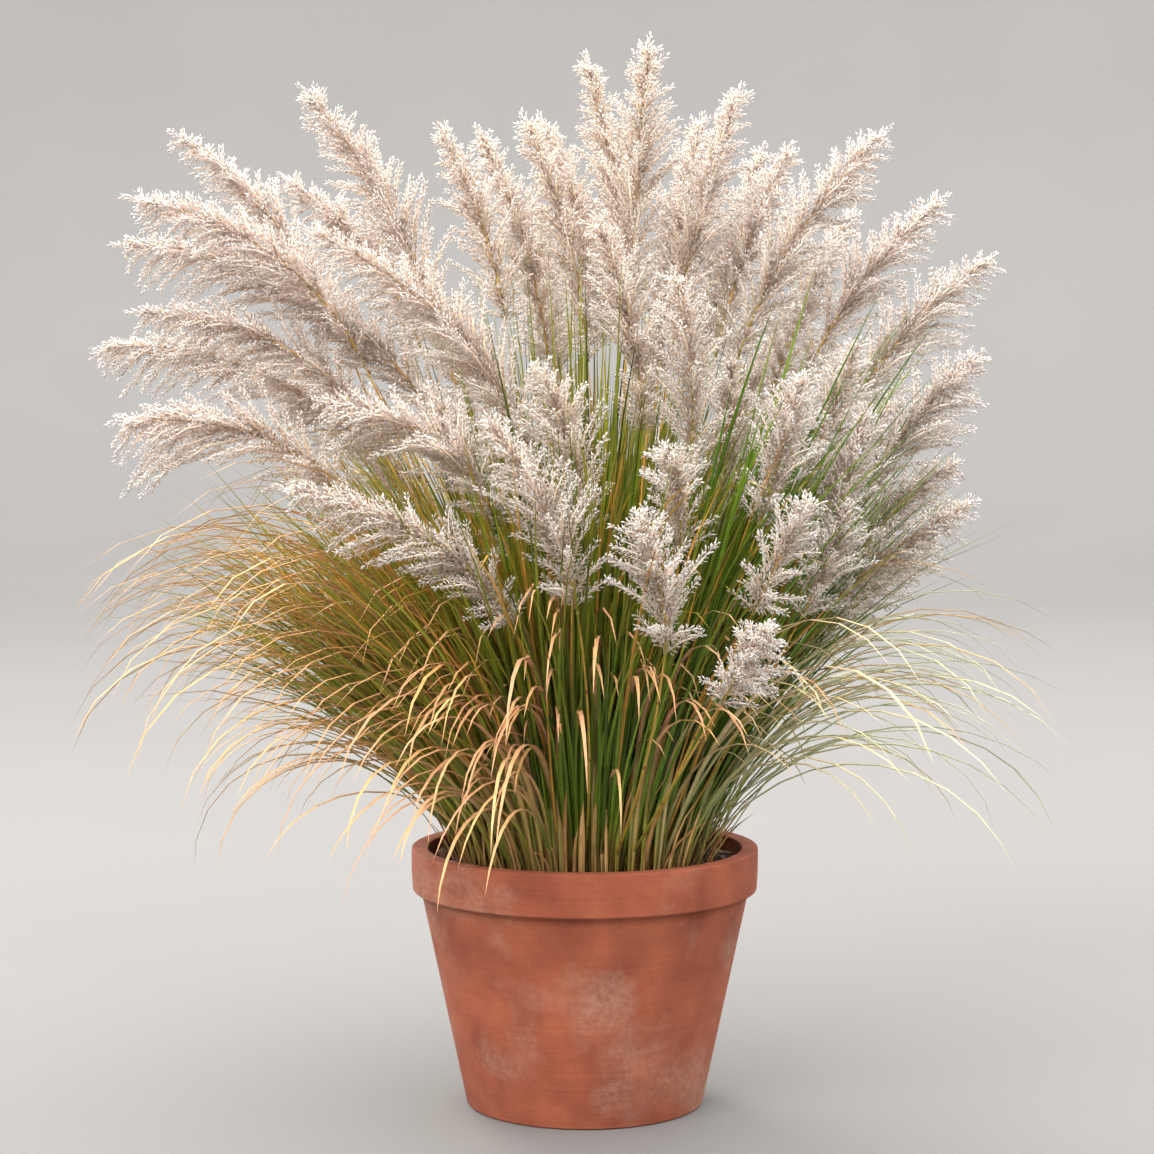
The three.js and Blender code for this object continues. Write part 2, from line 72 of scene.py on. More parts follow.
Numbers = float | np.ndarray
Socket = bpy.types.NodeSocket
Fed = Socket | float | tuple


def linear(red: int, green: int, blue: int) -> np.ndarray:
    """Turn a display colour into a linear one.

    Args:
        red: Red from 0 to 255.
        green: Green from 0 to 255.
        blue: Blue from 0 to 255.

    Returns:
        The linear colour, three numbers from 0 to 1.
    """
    shown = np.array([red, green, blue]) / 255
    return np.where(shown <= 0.04045, shown / 12.92, ((shown + 0.055) / 1.055) ** 2.4)


def mix(low: Numbers, high: Numbers, share: Numbers) -> Numbers:
    """Return what lies between low and high at a share from 0 to 1."""
    return low + (high - low) * share


def blend_colours(first: np.ndarray, second: np.ndarray, share: np.ndarray) -> np.ndarray:
    """Mix two colours, or two rows of colours, by a share for each row.

    Args:
        first: A colour or rows of colours.
        second: A colour or rows of colours.
        share: How much of the second each row takes.

    Returns:
        Rows of colours.
    """
    weight = np.clip(np.asarray(share, float), 0, 1)[..., None]
    return first * (1 - weight) + second * weight


def unit(rows: np.ndarray) -> np.ndarray:
    """Return rows of vectors scaled to length one."""
    return rows / np.maximum(np.linalg.norm(rows, axis=-1, keepdims=True), 1e-9)


def crossways(heading: np.ndarray) -> tuple[np.ndarray, np.ndarray]:
    """Find two directions square to each heading, the first of them level.

    Args:
        heading: Rows of unit vectors.

    Returns:
        The level directions and the ones that complete each frame.
    """
    side = np.cross(UP, heading)
    level = np.linalg.norm(side, axis=-1, keepdims=True) < 1e-4
    side = unit(np.where(level, np.array([1.0, 0.0, 0.0]), side))
    return side, np.cross(heading, side)


def around(first: np.ndarray, second: np.ndarray, turn: np.ndarray) -> np.ndarray:
    """Return the directions at a turn from the first ones towards the second."""
    return first * np.cos(turn)[:, None] + second * np.sin(turn)[:, None]


def polar(radius: Numbers, turn: Numbers, height: Numbers) -> np.ndarray:
    """Return points at a radius from the upright axis, a turn about it and a height."""
    return np.stack(np.broadcast_arrays(radius * np.cos(turn), radius * np.sin(turn), height), axis=-1)


@dataclass(frozen=True)
class Bend:
    """Rows of quadratic curves, each from start to end and pulled towards a middle point."""

    start: np.ndarray
    middle: np.ndarray
    end: np.ndarray

    def at(self, share: np.ndarray) -> np.ndarray:
        """Return the points at a share of each curve."""
        t = np.asarray(share, float)[..., None]
        return self.start * (1 - t) ** 2 + self.middle * 2 * t * (1 - t) + self.end * t**2

    def heading(self, share: np.ndarray) -> np.ndarray:
        """Return the unit directions at a share of each curve."""
        t = np.asarray(share, float)[..., None]
        return unit((self.middle - self.start) * (1 - t) + (self.end - self.middle) * t)

    def rows(self, index: np.ndarray) -> "Bend":
        """Return the curves that an index picks, with repeats."""
        return Bend(self.start[index], self.middle[index], self.end[index])

    def paths(self, steps: int) -> np.ndarray:
        """Return the points along every curve, one row of points for each.

        Args:
            steps: How many stretches each path has.

        Returns:
            An array of curves by points by three.
        """
        share = np.linspace(0, 1, steps + 1)
        each = Bend(self.start[:, None], self.middle[:, None], self.end[:, None])
        return each.at(np.broadcast_to(share, (len(self.start), steps + 1)))

    @staticmethod
    def joined(bends: list["Bend"]) -> "Bend":
        """Return one set of curves that holds all the given ones."""
        ends = ("start", "middle", "end")
        return Bend(*(np.concatenate([getattr(bend, end) for bend in bends]) for end in ends))


@dataclass(frozen=True)
class Swell:
    """A width along a length: from its foot it grows to one, then tapers to its tip."""

    foot: float
    tip: float
    widest_at: float
    taper: float

    def at(self, share: np.ndarray) -> np.ndarray:
        """Return the width at a share of the length.

        Args:
            share: Shares from 0 to 1.

        Returns:
            The widths, as shares of the widest.
        """
        grown = mix(self.foot, 1, share / self.widest_at)
        beyond = np.maximum(share - self.widest_at, 0) / (1 - self.widest_at)
        return np.where(share < self.widest_at, grown, mix(1, self.tip, beyond**self.taper))


@dataclass
class Shape:
    """Points and triangles that wait to be joined in a piece, with a colour for each point and
    its place across its blade from -1 to 1, the middle where none is given."""

    points: np.ndarray
    triangles: np.ndarray
    colours: np.ndarray
    across: np.ndarray | None = None

    def __post_init__(self) -> None:
        """Put points without a place across a blade in the middle."""
        if self.across is None:
            self.across = np.zeros(len(self.points))

    @staticmethod
    def joined(shapes: list["Shape"]) -> "Shape":
        """Return one shape that holds all the given ones."""
        offsets = np.cumsum([0] + [len(shape.points) for shape in shapes[:-1]])
        return Shape(
            np.concatenate([shape.points for shape in shapes]),
            np.concatenate([shape.triangles + offset for shape, offset in zip(shapes, offsets)]),
            np.concatenate([shape.colours for shape in shapes]),
            np.concatenate([shape.across for shape in shapes]),
        )


class Workbench:
    """Models shapes by hand, with edit-mode operators."""

    @staticmethod
    def start(section: int, radius: float = 1.0, height: float = 0.0) -> bpy.types.Object:
        """Add a filled level ring round the upright axis and open it for editing.

        Args:
            section: How many corners the ring has.
            radius: The ring's radius.
            height: The ring's height.

        Returns:
            The new object, in edit mode.
        """
        bpy.ops.object.select_all(action="DESELECT")
        bpy.ops.mesh.primitive_circle_add(vertices=section, radius=radius, fill_type="NGON")
        master = bpy.context.object
        bpy.ops.object.mode_set(mode="EDIT")
        bpy.ops.transform.translate(value=(0, 0, height))
        return master

    @staticmethod
    def grow(step: float, scale: float) -> None:
        """Extrude the selected face upwards and scale it."""
        bpy.ops.mesh.extrude_region_move(TRANSFORM_OT_translate={"value": (0, 0, step)})
        bpy.ops.transform.resize(value=(scale, scale, 1), center_override=(0, 0, 0))

    @staticmethod
    def turned(outline: Sequence[tuple[float, float]], base: float = 0.0) -> bpy.types.Object:
        """Draw a round body up along an outline, ring by ring.

        Args:
            outline: Each ring's radius, and its height over the first one.
            base: The first ring's height.

        Returns:
            The new object, in edit mode, with its last ring selected.
        """
        body = Workbench.start(ROUND_SIDES, outline[0][0], base)
        for (radius, height), (next_radius, next_height) in zip(outline[:-1], outline[1:]):
            Workbench.grow(next_height - height, next_radius / radius)
        return body

    @staticmethod
    def take(master: bpy.types.Object) -> tuple[np.ndarray, np.ndarray]:
        """Close the master, read its points and triangles, and remove it.

        Args:
            master: The object, in edit mode.

        Returns:
            Its points, and its triangles as rows of three indices.
        """
        bpy.ops.mesh.select_all(action="SELECT")
        bpy.ops.mesh.normals_make_consistent(inside=False)
        bpy.ops.mesh.quads_convert_to_tris()
        bpy.ops.object.mode_set(mode="OBJECT")
        mesh = master.data
        points = np.array([vertex.co for vertex in mesh.vertices], float)
        triangles = np.array([face.vertices for face in mesh.polygons], int)
        bpy.data.objects.remove(master)
        bpy.data.meshes.remove(mesh)
        return points, triangles


@dataclass(frozen=True)
class Master:
    """One shape modelled at unit size: x across, y through its thickness and z along it."""

    points: np.ndarray
    triangles: np.ndarray

    @classmethod
    def lofted(cls, sides: int, rings: tuple[float, ...], groove: float | None = None) -> "Master":
        """Model a slim body from a ring of corners, drawn upwards in equal steps to a point.

        Args:
            sides: Corners of its section.
            rings: The radius of each ring, from the root up.
            groove: Where the section's far corner is pushed in to, or None to leave it round.

        Returns:
            The master.
        """
        body = Workbench.start(sides)
        if groove is not None:
            bpy.ops.object.mode_set(mode="OBJECT")
            corner = max(body.data.vertices, key=lambda vertex: vertex.co.y)
            corner.co.y = groove
            bpy.ops.object.mode_set(mode="EDIT")
            bpy.ops.mesh.select_all(action="SELECT")
        bpy.ops.transform.resize(value=(rings[0], rings[0], 1), center_override=(0, 0, 0))
        for before, after in zip(rings[:-1], rings[1:]):
            Workbench.grow(1 / len(rings), after / before)
        Workbench.grow(1 / len(rings), 1)
        bpy.ops.mesh.merge(type="CENTER")
        return cls(*Workbench.take(body))

    @classmethod
    def stalk(cls, sides: int, steps: int, tip: float) -> "Master":
        """Model a round stalk that tapers evenly and ends in a point."""
        return cls.lofted(sides, tuple(mix(1, tip, step / steps) for step in range(steps)))

    @classmethod
    def blade(cls, steps: int, sheath: float, tip: float, groove: float | None = None) -> "Master":
        """Model a blade with a keel below, narrow at both ends.

        Args:
            steps: Stretches along it.
            sheath: The width at its root, as a share of the widest.
            tip: The width of the last ring.
            groove: How the middle of its upper face is pushed in, or None for a flat one.

        Returns:
            The master.
        """
        rings = tuple(Swell(sheath, tip, widest_at=0.3, taper=2.2).at(np.arange(steps) / steps))
        if groove is not None:
            return cls.lofted(4, rings, groove)
        flat = cls.lofted(3, rings)
        return cls(flat.points * (-1, -1, 1), flat.triangles)

    @classmethod
    def spikelet(cls) -> "Master":
        """Model a slim kite-shaped spikelet of four faces: root, two shoulders and tip."""
        bpy.ops.object.select_all(action="DESELECT")
        bpy.ops.mesh.primitive_cone_add(vertices=3, radius1=1, radius2=0, depth=1)
        spikelet = bpy.context.object
        places = ((0, 0, 0), (1, -0.5, 0.66), (-1, -0.5, 0.62), (0, 0, 1))
        for vertex, place in zip(spikelet.data.vertices, places):
            vertex.co = place
        bpy.ops.object.mode_set(mode="EDIT")
        return cls(*Workbench.take(spikelet))

    @classmethod
    def chip(cls) -> "Master":
        """Model a flake of bark: a block with one split, uneven end."""
        bpy.ops.object.select_all(action="DESELECT")
        bpy.ops.mesh.primitive_cube_add(size=1)
        chip = bpy.context.object
        bpy.ops.object.mode_set(mode="EDIT")
        bpy.ops.mesh.subdivide(number_cuts=1)
        bpy.ops.transform.vertex_random(offset=0.16, seed=4)
        return cls(*Workbench.take(chip))

    def along(
        self,
        paths: np.ndarray,
        width: np.ndarray,
        thickness: np.ndarray,
        across: np.ndarray | None = None,
    ) -> tuple[np.ndarray, np.ndarray, np.ndarray]:
        """Copy the master along every path, bent to follow it.

        Args:
            paths: Curves by points by three.
            width: Each copy's full width.
            thickness: Each copy's reach through its thickness, on each side of its path.
            across: Each path's sideways directions, or None for level ones.

        Returns:
            Points, triangles, and each point's share along its path.
        """
        copies, samples = paths.shape[:2]
        heading = unit(np.gradient(paths, axis=1))
        side = crossways(heading)[0] if across is None else unit(across)
        lift = unit(np.cross(heading, side))
        place = self.points[:, 2] * (samples - 1)
        low = np.clip(place.astype(int), 0, samples - 2)
        share = (place - low)[None, :, None]

        def picked(rows: np.ndarray) -> np.ndarray:
            """Return what the rows along each path are at the master's points."""
            return rows[:, low] * (1 - share) + rows[:, low + 1] * share

        out_x = picked(side) * (self.points[:, 0][None, :] * width[:, None] / 2)[..., None]
        out_y = picked(lift) * (self.points[:, 1][None, :] * thickness[:, None])[..., None]
        points = (picked(paths) + out_x + out_y).reshape(-1, 3)
        return points, self.copied_triangles(copies), np.tile(self.points[:, 2], copies)

    def placed(self, root: np.ndarray, frames: np.ndarray) -> tuple[np.ndarray, np.ndarray]:
        """Copy the master to many places.

        Args:
            root: Where each copy starts.
            frames: For each copy its x, y and z axes as rows, with their scale.

        Returns:
            Points and triangles.
        """
        points = root[:, None, :] + np.einsum("pk,nkd->npd", self.points, frames)
        return points.reshape(-1, 3), self.copied_triangles(len(root))

    def copied_triangles(self, copies: int) -> np.ndarray:
        """Return the triangles of many copies that follow one another."""
        offsets = np.arange(copies)[:, None, None] * len(self.points)
        return (self.triangles[None] + offsets).reshape(-1, 3)

    def each(self, rows: np.ndarray) -> np.ndarray:
        """Return every copy's row once for each of its points."""
        return np.repeat(rows, len(self.points), axis=0)


class Graph:
    """Adds shader nodes to a new material."""

    def __init__(self, name: str, roughness: float) -> None:
        """Start a material with one surface shader.

        Args:
            name: The material's name.
            roughness: Its skin's roughness.
        """
        self.material = bpy.data.materials.new(name)
        self.material.use_nodes = True
        self.nodes = self.material.node_tree.nodes
        self.shader = self.nodes["Principled BSDF"]
        self.coords = self.add("ShaderNodeTexCoord").outputs["Object"]
        self.feed(self.shader, Roughness=roughness)

    def add(self, kind: str, **inputs: Fed) -> bpy.types.Node:
        """Add a node of a kind and feed its inputs.

        Args:
            kind: The node's type.
            **inputs: What its inputs take, as feed has them.

        Returns:
            The node.
        """
        node = self.nodes.new(kind)
        self.feed(node, **inputs)
        return node

    def feed(self, node: bpy.types.Node, **inputs: Fed) -> None:
        """Set or link a node's inputs by name, an input's spaces written as underscores."""
        for name, value in inputs.items():
            self.plug(node.inputs[name.replace("_", " ")], value)

    def plug(self, socket: Socket, value: Fed) -> None:
        """Link a socket to another, or set its value.

        Args:
            socket: An input.
            value: A node's output, or a number or colour.
        """
        if isinstance(value, Socket):
            self.material.node_tree.links.new(value, socket)
        else:
            socket.default_value = value

    def attribute(self, name: str, output: str = "Color") -> Socket:
        """Read one of the piece's own attributes.

        Args:
            name: The attribute's name.
            output: Color for a colour, or Fac for a number.

        Returns:
            Its socket.
        """
        node = self.add("ShaderNodeAttribute")
        node.attribute_name = name
        return node.outputs[output]

    def noise(self, scale: float, detail: float, stretch: tuple = (1, 1, 1)) -> Socket:
        """Return the value of a noise in the piece's own space.

        Args:
            scale: Its lumps for each metre.
            detail: How many finer layers it has.
            stretch: What each axis is multiplied by first.

        Returns:
            The noise's value socket.
        """
        mapping = self.add("ShaderNodeMapping", Vector=self.coords, Scale=stretch)
        node = self.add("ShaderNodeTexNoise", Vector=mapping.outputs[0], Scale=scale, Detail=detail)
        return node.outputs["Fac"]

    def computed(self, operation: str, *values: Fed) -> Socket:
        """Return what an operation makes of its values.

        Args:
            operation: The operation's name.
            *values: Its values.

        Returns:
            The result's socket.
        """
        node = self.add("ShaderNodeMath")
        node.operation = operation
        for socket, value in zip(node.inputs, values):
            self.plug(socket, value)
        return node.outputs[0]

    def spread(
        self, value: Socket, low: float, high: float, to_low: float = 0, to_high: float = 1
    ) -> Socket:
        """Return a value mapped from one range to another, clamped."""
        limits = {"From_Min": low, "From_Max": high, "To_Min": to_low, "To_Max": to_high}
        return self.add("ShaderNodeMapRange", Value=value, **limits).outputs["Result"]

    def mixed(self, first: Fed, second: Fed, share: Fed, mode: str = "MIX") -> Socket:
        """Mix two colours, or join them another way.

        Args:
            first: A colour.
            second: A colour.
            share: How much of the second is taken.
            mode: How they are joined.

        Returns:
            The new colour's socket.
        """
        node = self.nodes.new("ShaderNodeMix")
        node.data_type = "RGBA"
        node.blend_type = mode
        colours = [socket for socket in node.inputs if socket.type == "RGBA"]
        for socket, value in zip((node.inputs[0], *colours), (share, first, second)):
            self.plug(socket, value)
        return next(socket for socket in node.outputs if socket.type == "RGBA")

    def shaded(self, colour: Socket, shade: Socket) -> Socket:
        """Return a colour multiplied by a grey."""
        grey = self.add("ShaderNodeCombineColor", Red=shade, Green=shade, Blue=shade).outputs[0]
        return self.mixed(colour, grey, 1.0, "MULTIPLY")

    def finish(
        self, colour: Socket, height: Socket | None = None, depth: float = 0.001, strength: float = 0.5
    ) -> bpy.types.Material:
        """Link the colour and an optional relief, and return the material.

        Args:
            colour: The colour socket.
            height: The relief's height socket.
            depth: The relief's depth in metres.
            strength: How strongly the relief shades.

        Returns:
            The finished material.
        """
        self.feed(self.shader, Base_Color=colour)
        if height is not None:
            bump = self.add("ShaderNodeBump", Height=height, Strength=strength, Distance=depth)
            self.feed(self.shader, Normal=bump.outputs["Normal"])
        return self.material


def paint(red: int, green: int, blue: int) -> tuple[float, ...]:
    """Return a display colour as sockets take it, linear and with its opacity."""
    return (*linear(red, green, blue).tolist(), 1.0)


@dataclass(frozen=True)
class PlumeFinish:
    """Dry, silky spikelets, their colour from the piece, with faint mottling."""

    name: str = "plume_silk"
    roughness: float = 0.55
    specular: float = 0.35
    sheen: float = 0.25
    grain: float = 620
    mottling: float = 0.08
    glow: float = 0.9
    glow_depth: float = 0.012
    glow_colour: tuple = (1.0, 0.75, 0.6)
    relief_depth: float = 0.0005
    relief: float = 0.3

    def material(self) -> bpy.types.Material:
        """Build the material.

        Returns:
            The material.
        """
        graph = Graph(self.name, self.roughness)
        fine = graph.noise(self.grain, 3)
        shade = graph.spread(fine, 0.32, 0.68, 1 - self.mottling, 1 + self.mottling)
        graph.feed(
            graph.shader,
            Specular_IOR_Level=self.specular,
            Sheen_Weight=self.sheen,
            Subsurface_Weight=self.glow,
            Subsurface_Scale=self.glow_depth,
            Subsurface_Radius=self.glow_colour,
        )
        colour = graph.shaded(graph.attribute("tint"), shade)
        return graph.finish(colour, fine, self.relief_depth, self.relief)


@dataclass(frozen=True)
class LeafFinish:
    """Grass blade: parallel ribs across its width, mottled along it, with a satin skin."""

    name: str
    roughness: float
    specular: float = 0.4
    ribs: int = 3
    furrow: tuple = (0.55, 0.6, 0.5, 1)
    furrow_share: float = 0.5
    blotches: float = 60
    mottling: float = 0.16
    relief_depth: float = 0.0004
    relief: float = 0.4

    def material(self) -> bpy.types.Material:
        """Build the material.

        Returns:
            The material.
        """
        graph = Graph(self.name, self.roughness)
        turns = graph.computed("MULTIPLY", graph.attribute("across", "Fac"), self.ribs * math.pi)
        rib = graph.spread(graph.computed("COSINE", turns), -1, 1)
        blotch = graph.noise(self.blotches, 4)
        mottle = graph.spread(blotch, 0.3, 0.7, 1 - self.mottling, 1 + self.mottling)
        mottled = graph.shaded(graph.attribute("tint"), mottle)
        furrow = graph.spread(rib, 0, 1, 0, self.furrow_share)
        ribbed = graph.mixed(mottled, self.furrow, furrow, "MULTIPLY")
        graph.feed(graph.shader, Specular_IOR_Level=self.specular)
        return graph.finish(ribbed, rib, self.relief_depth, self.relief)


@dataclass(frozen=True)
class ClayFinish:
    """Fired clay: mottled and specked, with turning marks and pale mineral bloom."""

    name: str = "fired_clay"
    roughness: float = 0.86
    body: tuple = (160, 86, 58)
    fired: tuple = (128, 62, 40)
    bloom: tuple = (200, 168, 146)
    speck: tuple = (96, 50, 36)
    turning: tuple = (0.2, 0.2, 26)
    relief_depth: float = 0.0012
    relief: float = 0.45

    def material(self) -> bpy.types.Material:
        """Build the material.

        Returns:
            The material.
        """
        graph = Graph(self.name, self.roughness)
        mottle = graph.spread(graph.noise(16, 6), 0.35, 0.68)
        clay = graph.mixed(paint(*self.body), paint(*self.fired), mottle)
        patch = graph.spread(graph.noise(9, 8), 0.5, 0.8, 0, 0.55)
        grain = graph.spread(graph.noise(120, 3), 0.35, 0.6, 0.45, 1)
        bloomed = graph.mixed(clay, paint(*self.bloom), graph.computed("MULTIPLY", patch, grain))
        speck = graph.spread(graph.noise(420, 2), 0.62, 0.72, 0, 0.5)
        specked = graph.mixed(bloomed, paint(*self.speck), speck)
        grit = graph.spread(graph.noise(300, 3), 0, 1, 0, 0.5)
        relief = graph.computed("ADD", graph.noise(9, 4, self.turning), grit)
        return graph.finish(specked, relief, self.relief_depth, self.relief)


@dataclass(frozen=True)
class MulchFinish:
    """Damp bark and soil: dark brown, fibrous and rough."""

    name: str = "bark_mulch"
    roughness: float = 0.82
    fibres: float = 260
    stretch: tuple = (1, 1, 3)
    relief_depth: float = 0.002
    relief: float = 0.8

    def material(self) -> bpy.types.Material:
        """Build the material.

        Returns:
            The material.
        """
        graph = Graph(self.name, self.roughness)
        fibre = graph.noise(self.fibres, 5, self.stretch)
        colour = graph.shaded(graph.attribute("tint"), graph.spread(fibre, 0.3, 0.7, 0.55, 1.35))
        return graph.finish(colour, fibre, self.relief_depth, self.relief)


class Piece:
    """Makes finished pieces of the object."""

    @staticmethod
    def make(
        name: str,
        shape: Shape,
        material: bpy.types.Material,
        slot: str,
        replaces: tuple[str, ...],
        smooth: bool = False,
    ) -> bpy.types.Object:
        """Make a mesh of a shape, dress it and tie it to the frame.

        Args:
            name: The piece's name.
            shape: Its points, triangles and colours.
            material: Its finish.
            slot: The record's slot for that finish.
            replaces: The nodes that it stands for.
            smooth: Whether its shallow edges are shaded smooth.

        Returns:
            The piece.
        """
        mesh = bpy.data.meshes.new(name)
        mesh.vertices.add(len(shape.points))
        mesh.vertices.foreach_set("co", shape.points.astype(np.float32).ravel())
        mesh.loops.add(shape.triangles.size)
        mesh.loops.foreach_set("vertex_index", shape.triangles.astype(np.int32).ravel())
        mesh.polygons.add(len(shape.triangles))
        mesh.polygons.foreach_set("loop_start", np.arange(0, shape.triangles.size, 3, dtype=np.int32))
        mesh.update(calc_edges=True)
        tint = mesh.attributes.new("tint", "FLOAT_COLOR", "POINT")
        rgba = np.concatenate([shape.colours, np.ones((len(shape.points), 1))], axis=1)
        tint.data.foreach_set("color", rgba.astype(np.float32).ravel())
        across = mesh.attributes.new("across", "FLOAT", "POINT")
        across.data.foreach_set("value", shape.across.astype(np.float32))
        piece = bpy.data.objects.new(name, mesh)
        bpy.context.collection.objects.link(piece)
        Piece.tie(piece, material, slot, replaces)
        if smooth:
            bpy.ops.object.select_all(action="DESELECT")
            piece.select_set(True)
            bpy.context.view_layer.objects.active = piece
            bpy.ops.object.shade_smooth_by_angle(angle=math.radians(30))
        LOG.info("%s: %d triangles", name, len(shape.triangles))
        return piece

    @staticmethod
    def tie(
        piece: bpy.types.Object,
        material: bpy.types.Material,
        slot: str,
        replaces: tuple[str, ...],
    ) -> None:
        """Dress a piece, tie it to its body and hide the nodes that it stands for.

        Args:
            piece: The piece.
            material: Its finish.
            slot: The record's slot for that finish; not used.
            replaces: The nodes that it stands for.
        """
        piece.data.materials.clear()
        piece.data.materials.append(material)
        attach(piece, BODY)
        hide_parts(*replaces)


class Swatch(Enum):
    """Named display colours, each with red, green and blue from 0 to 255."""

    def colour(self) -> np.ndarray:
        """Return the linear colour."""
        return linear(*self.value)


class Tone(Swatch):
    """Colours of the plumes' silk, from the lit side to the shade."""

    CREAM = (252, 224, 202)
    BLUSH = (251, 216, 198)
    # Painted warm glow of the backlight, laid over the plumes' upper middle.
    BACKLIGHT_PEACH = (252, 215, 180)
    LAVENDER = (248, 218, 207)
    SILVER = (250, 225, 206)
    SHADE = (252, 206, 172)
    HUSK = (214, 158, 112)
    RACHIS_FOOT = (158, 140, 52)
    RACHIS_TIP = (222, 156, 92)


class Stand(Enum):
    """Where a plume stands, with how far it goes on below what shows, as a share of that."""

    CREST = 0.36
    RIGHT = 0.3
    LEFT = 0.26
    FRONT = 0.0
    REAR = 0.2


@dataclass(frozen=True)
class Plume:
    """One flower head as seen from the eye: its tip and the lowest point that shows, across and
    over the soil, their depths behind the plant's own plane, and its half width, in metres."""

    name: str
    tip: tuple[float, float]
    foot: tuple[float, float]
    depth: tuple[float, float]
    half: float


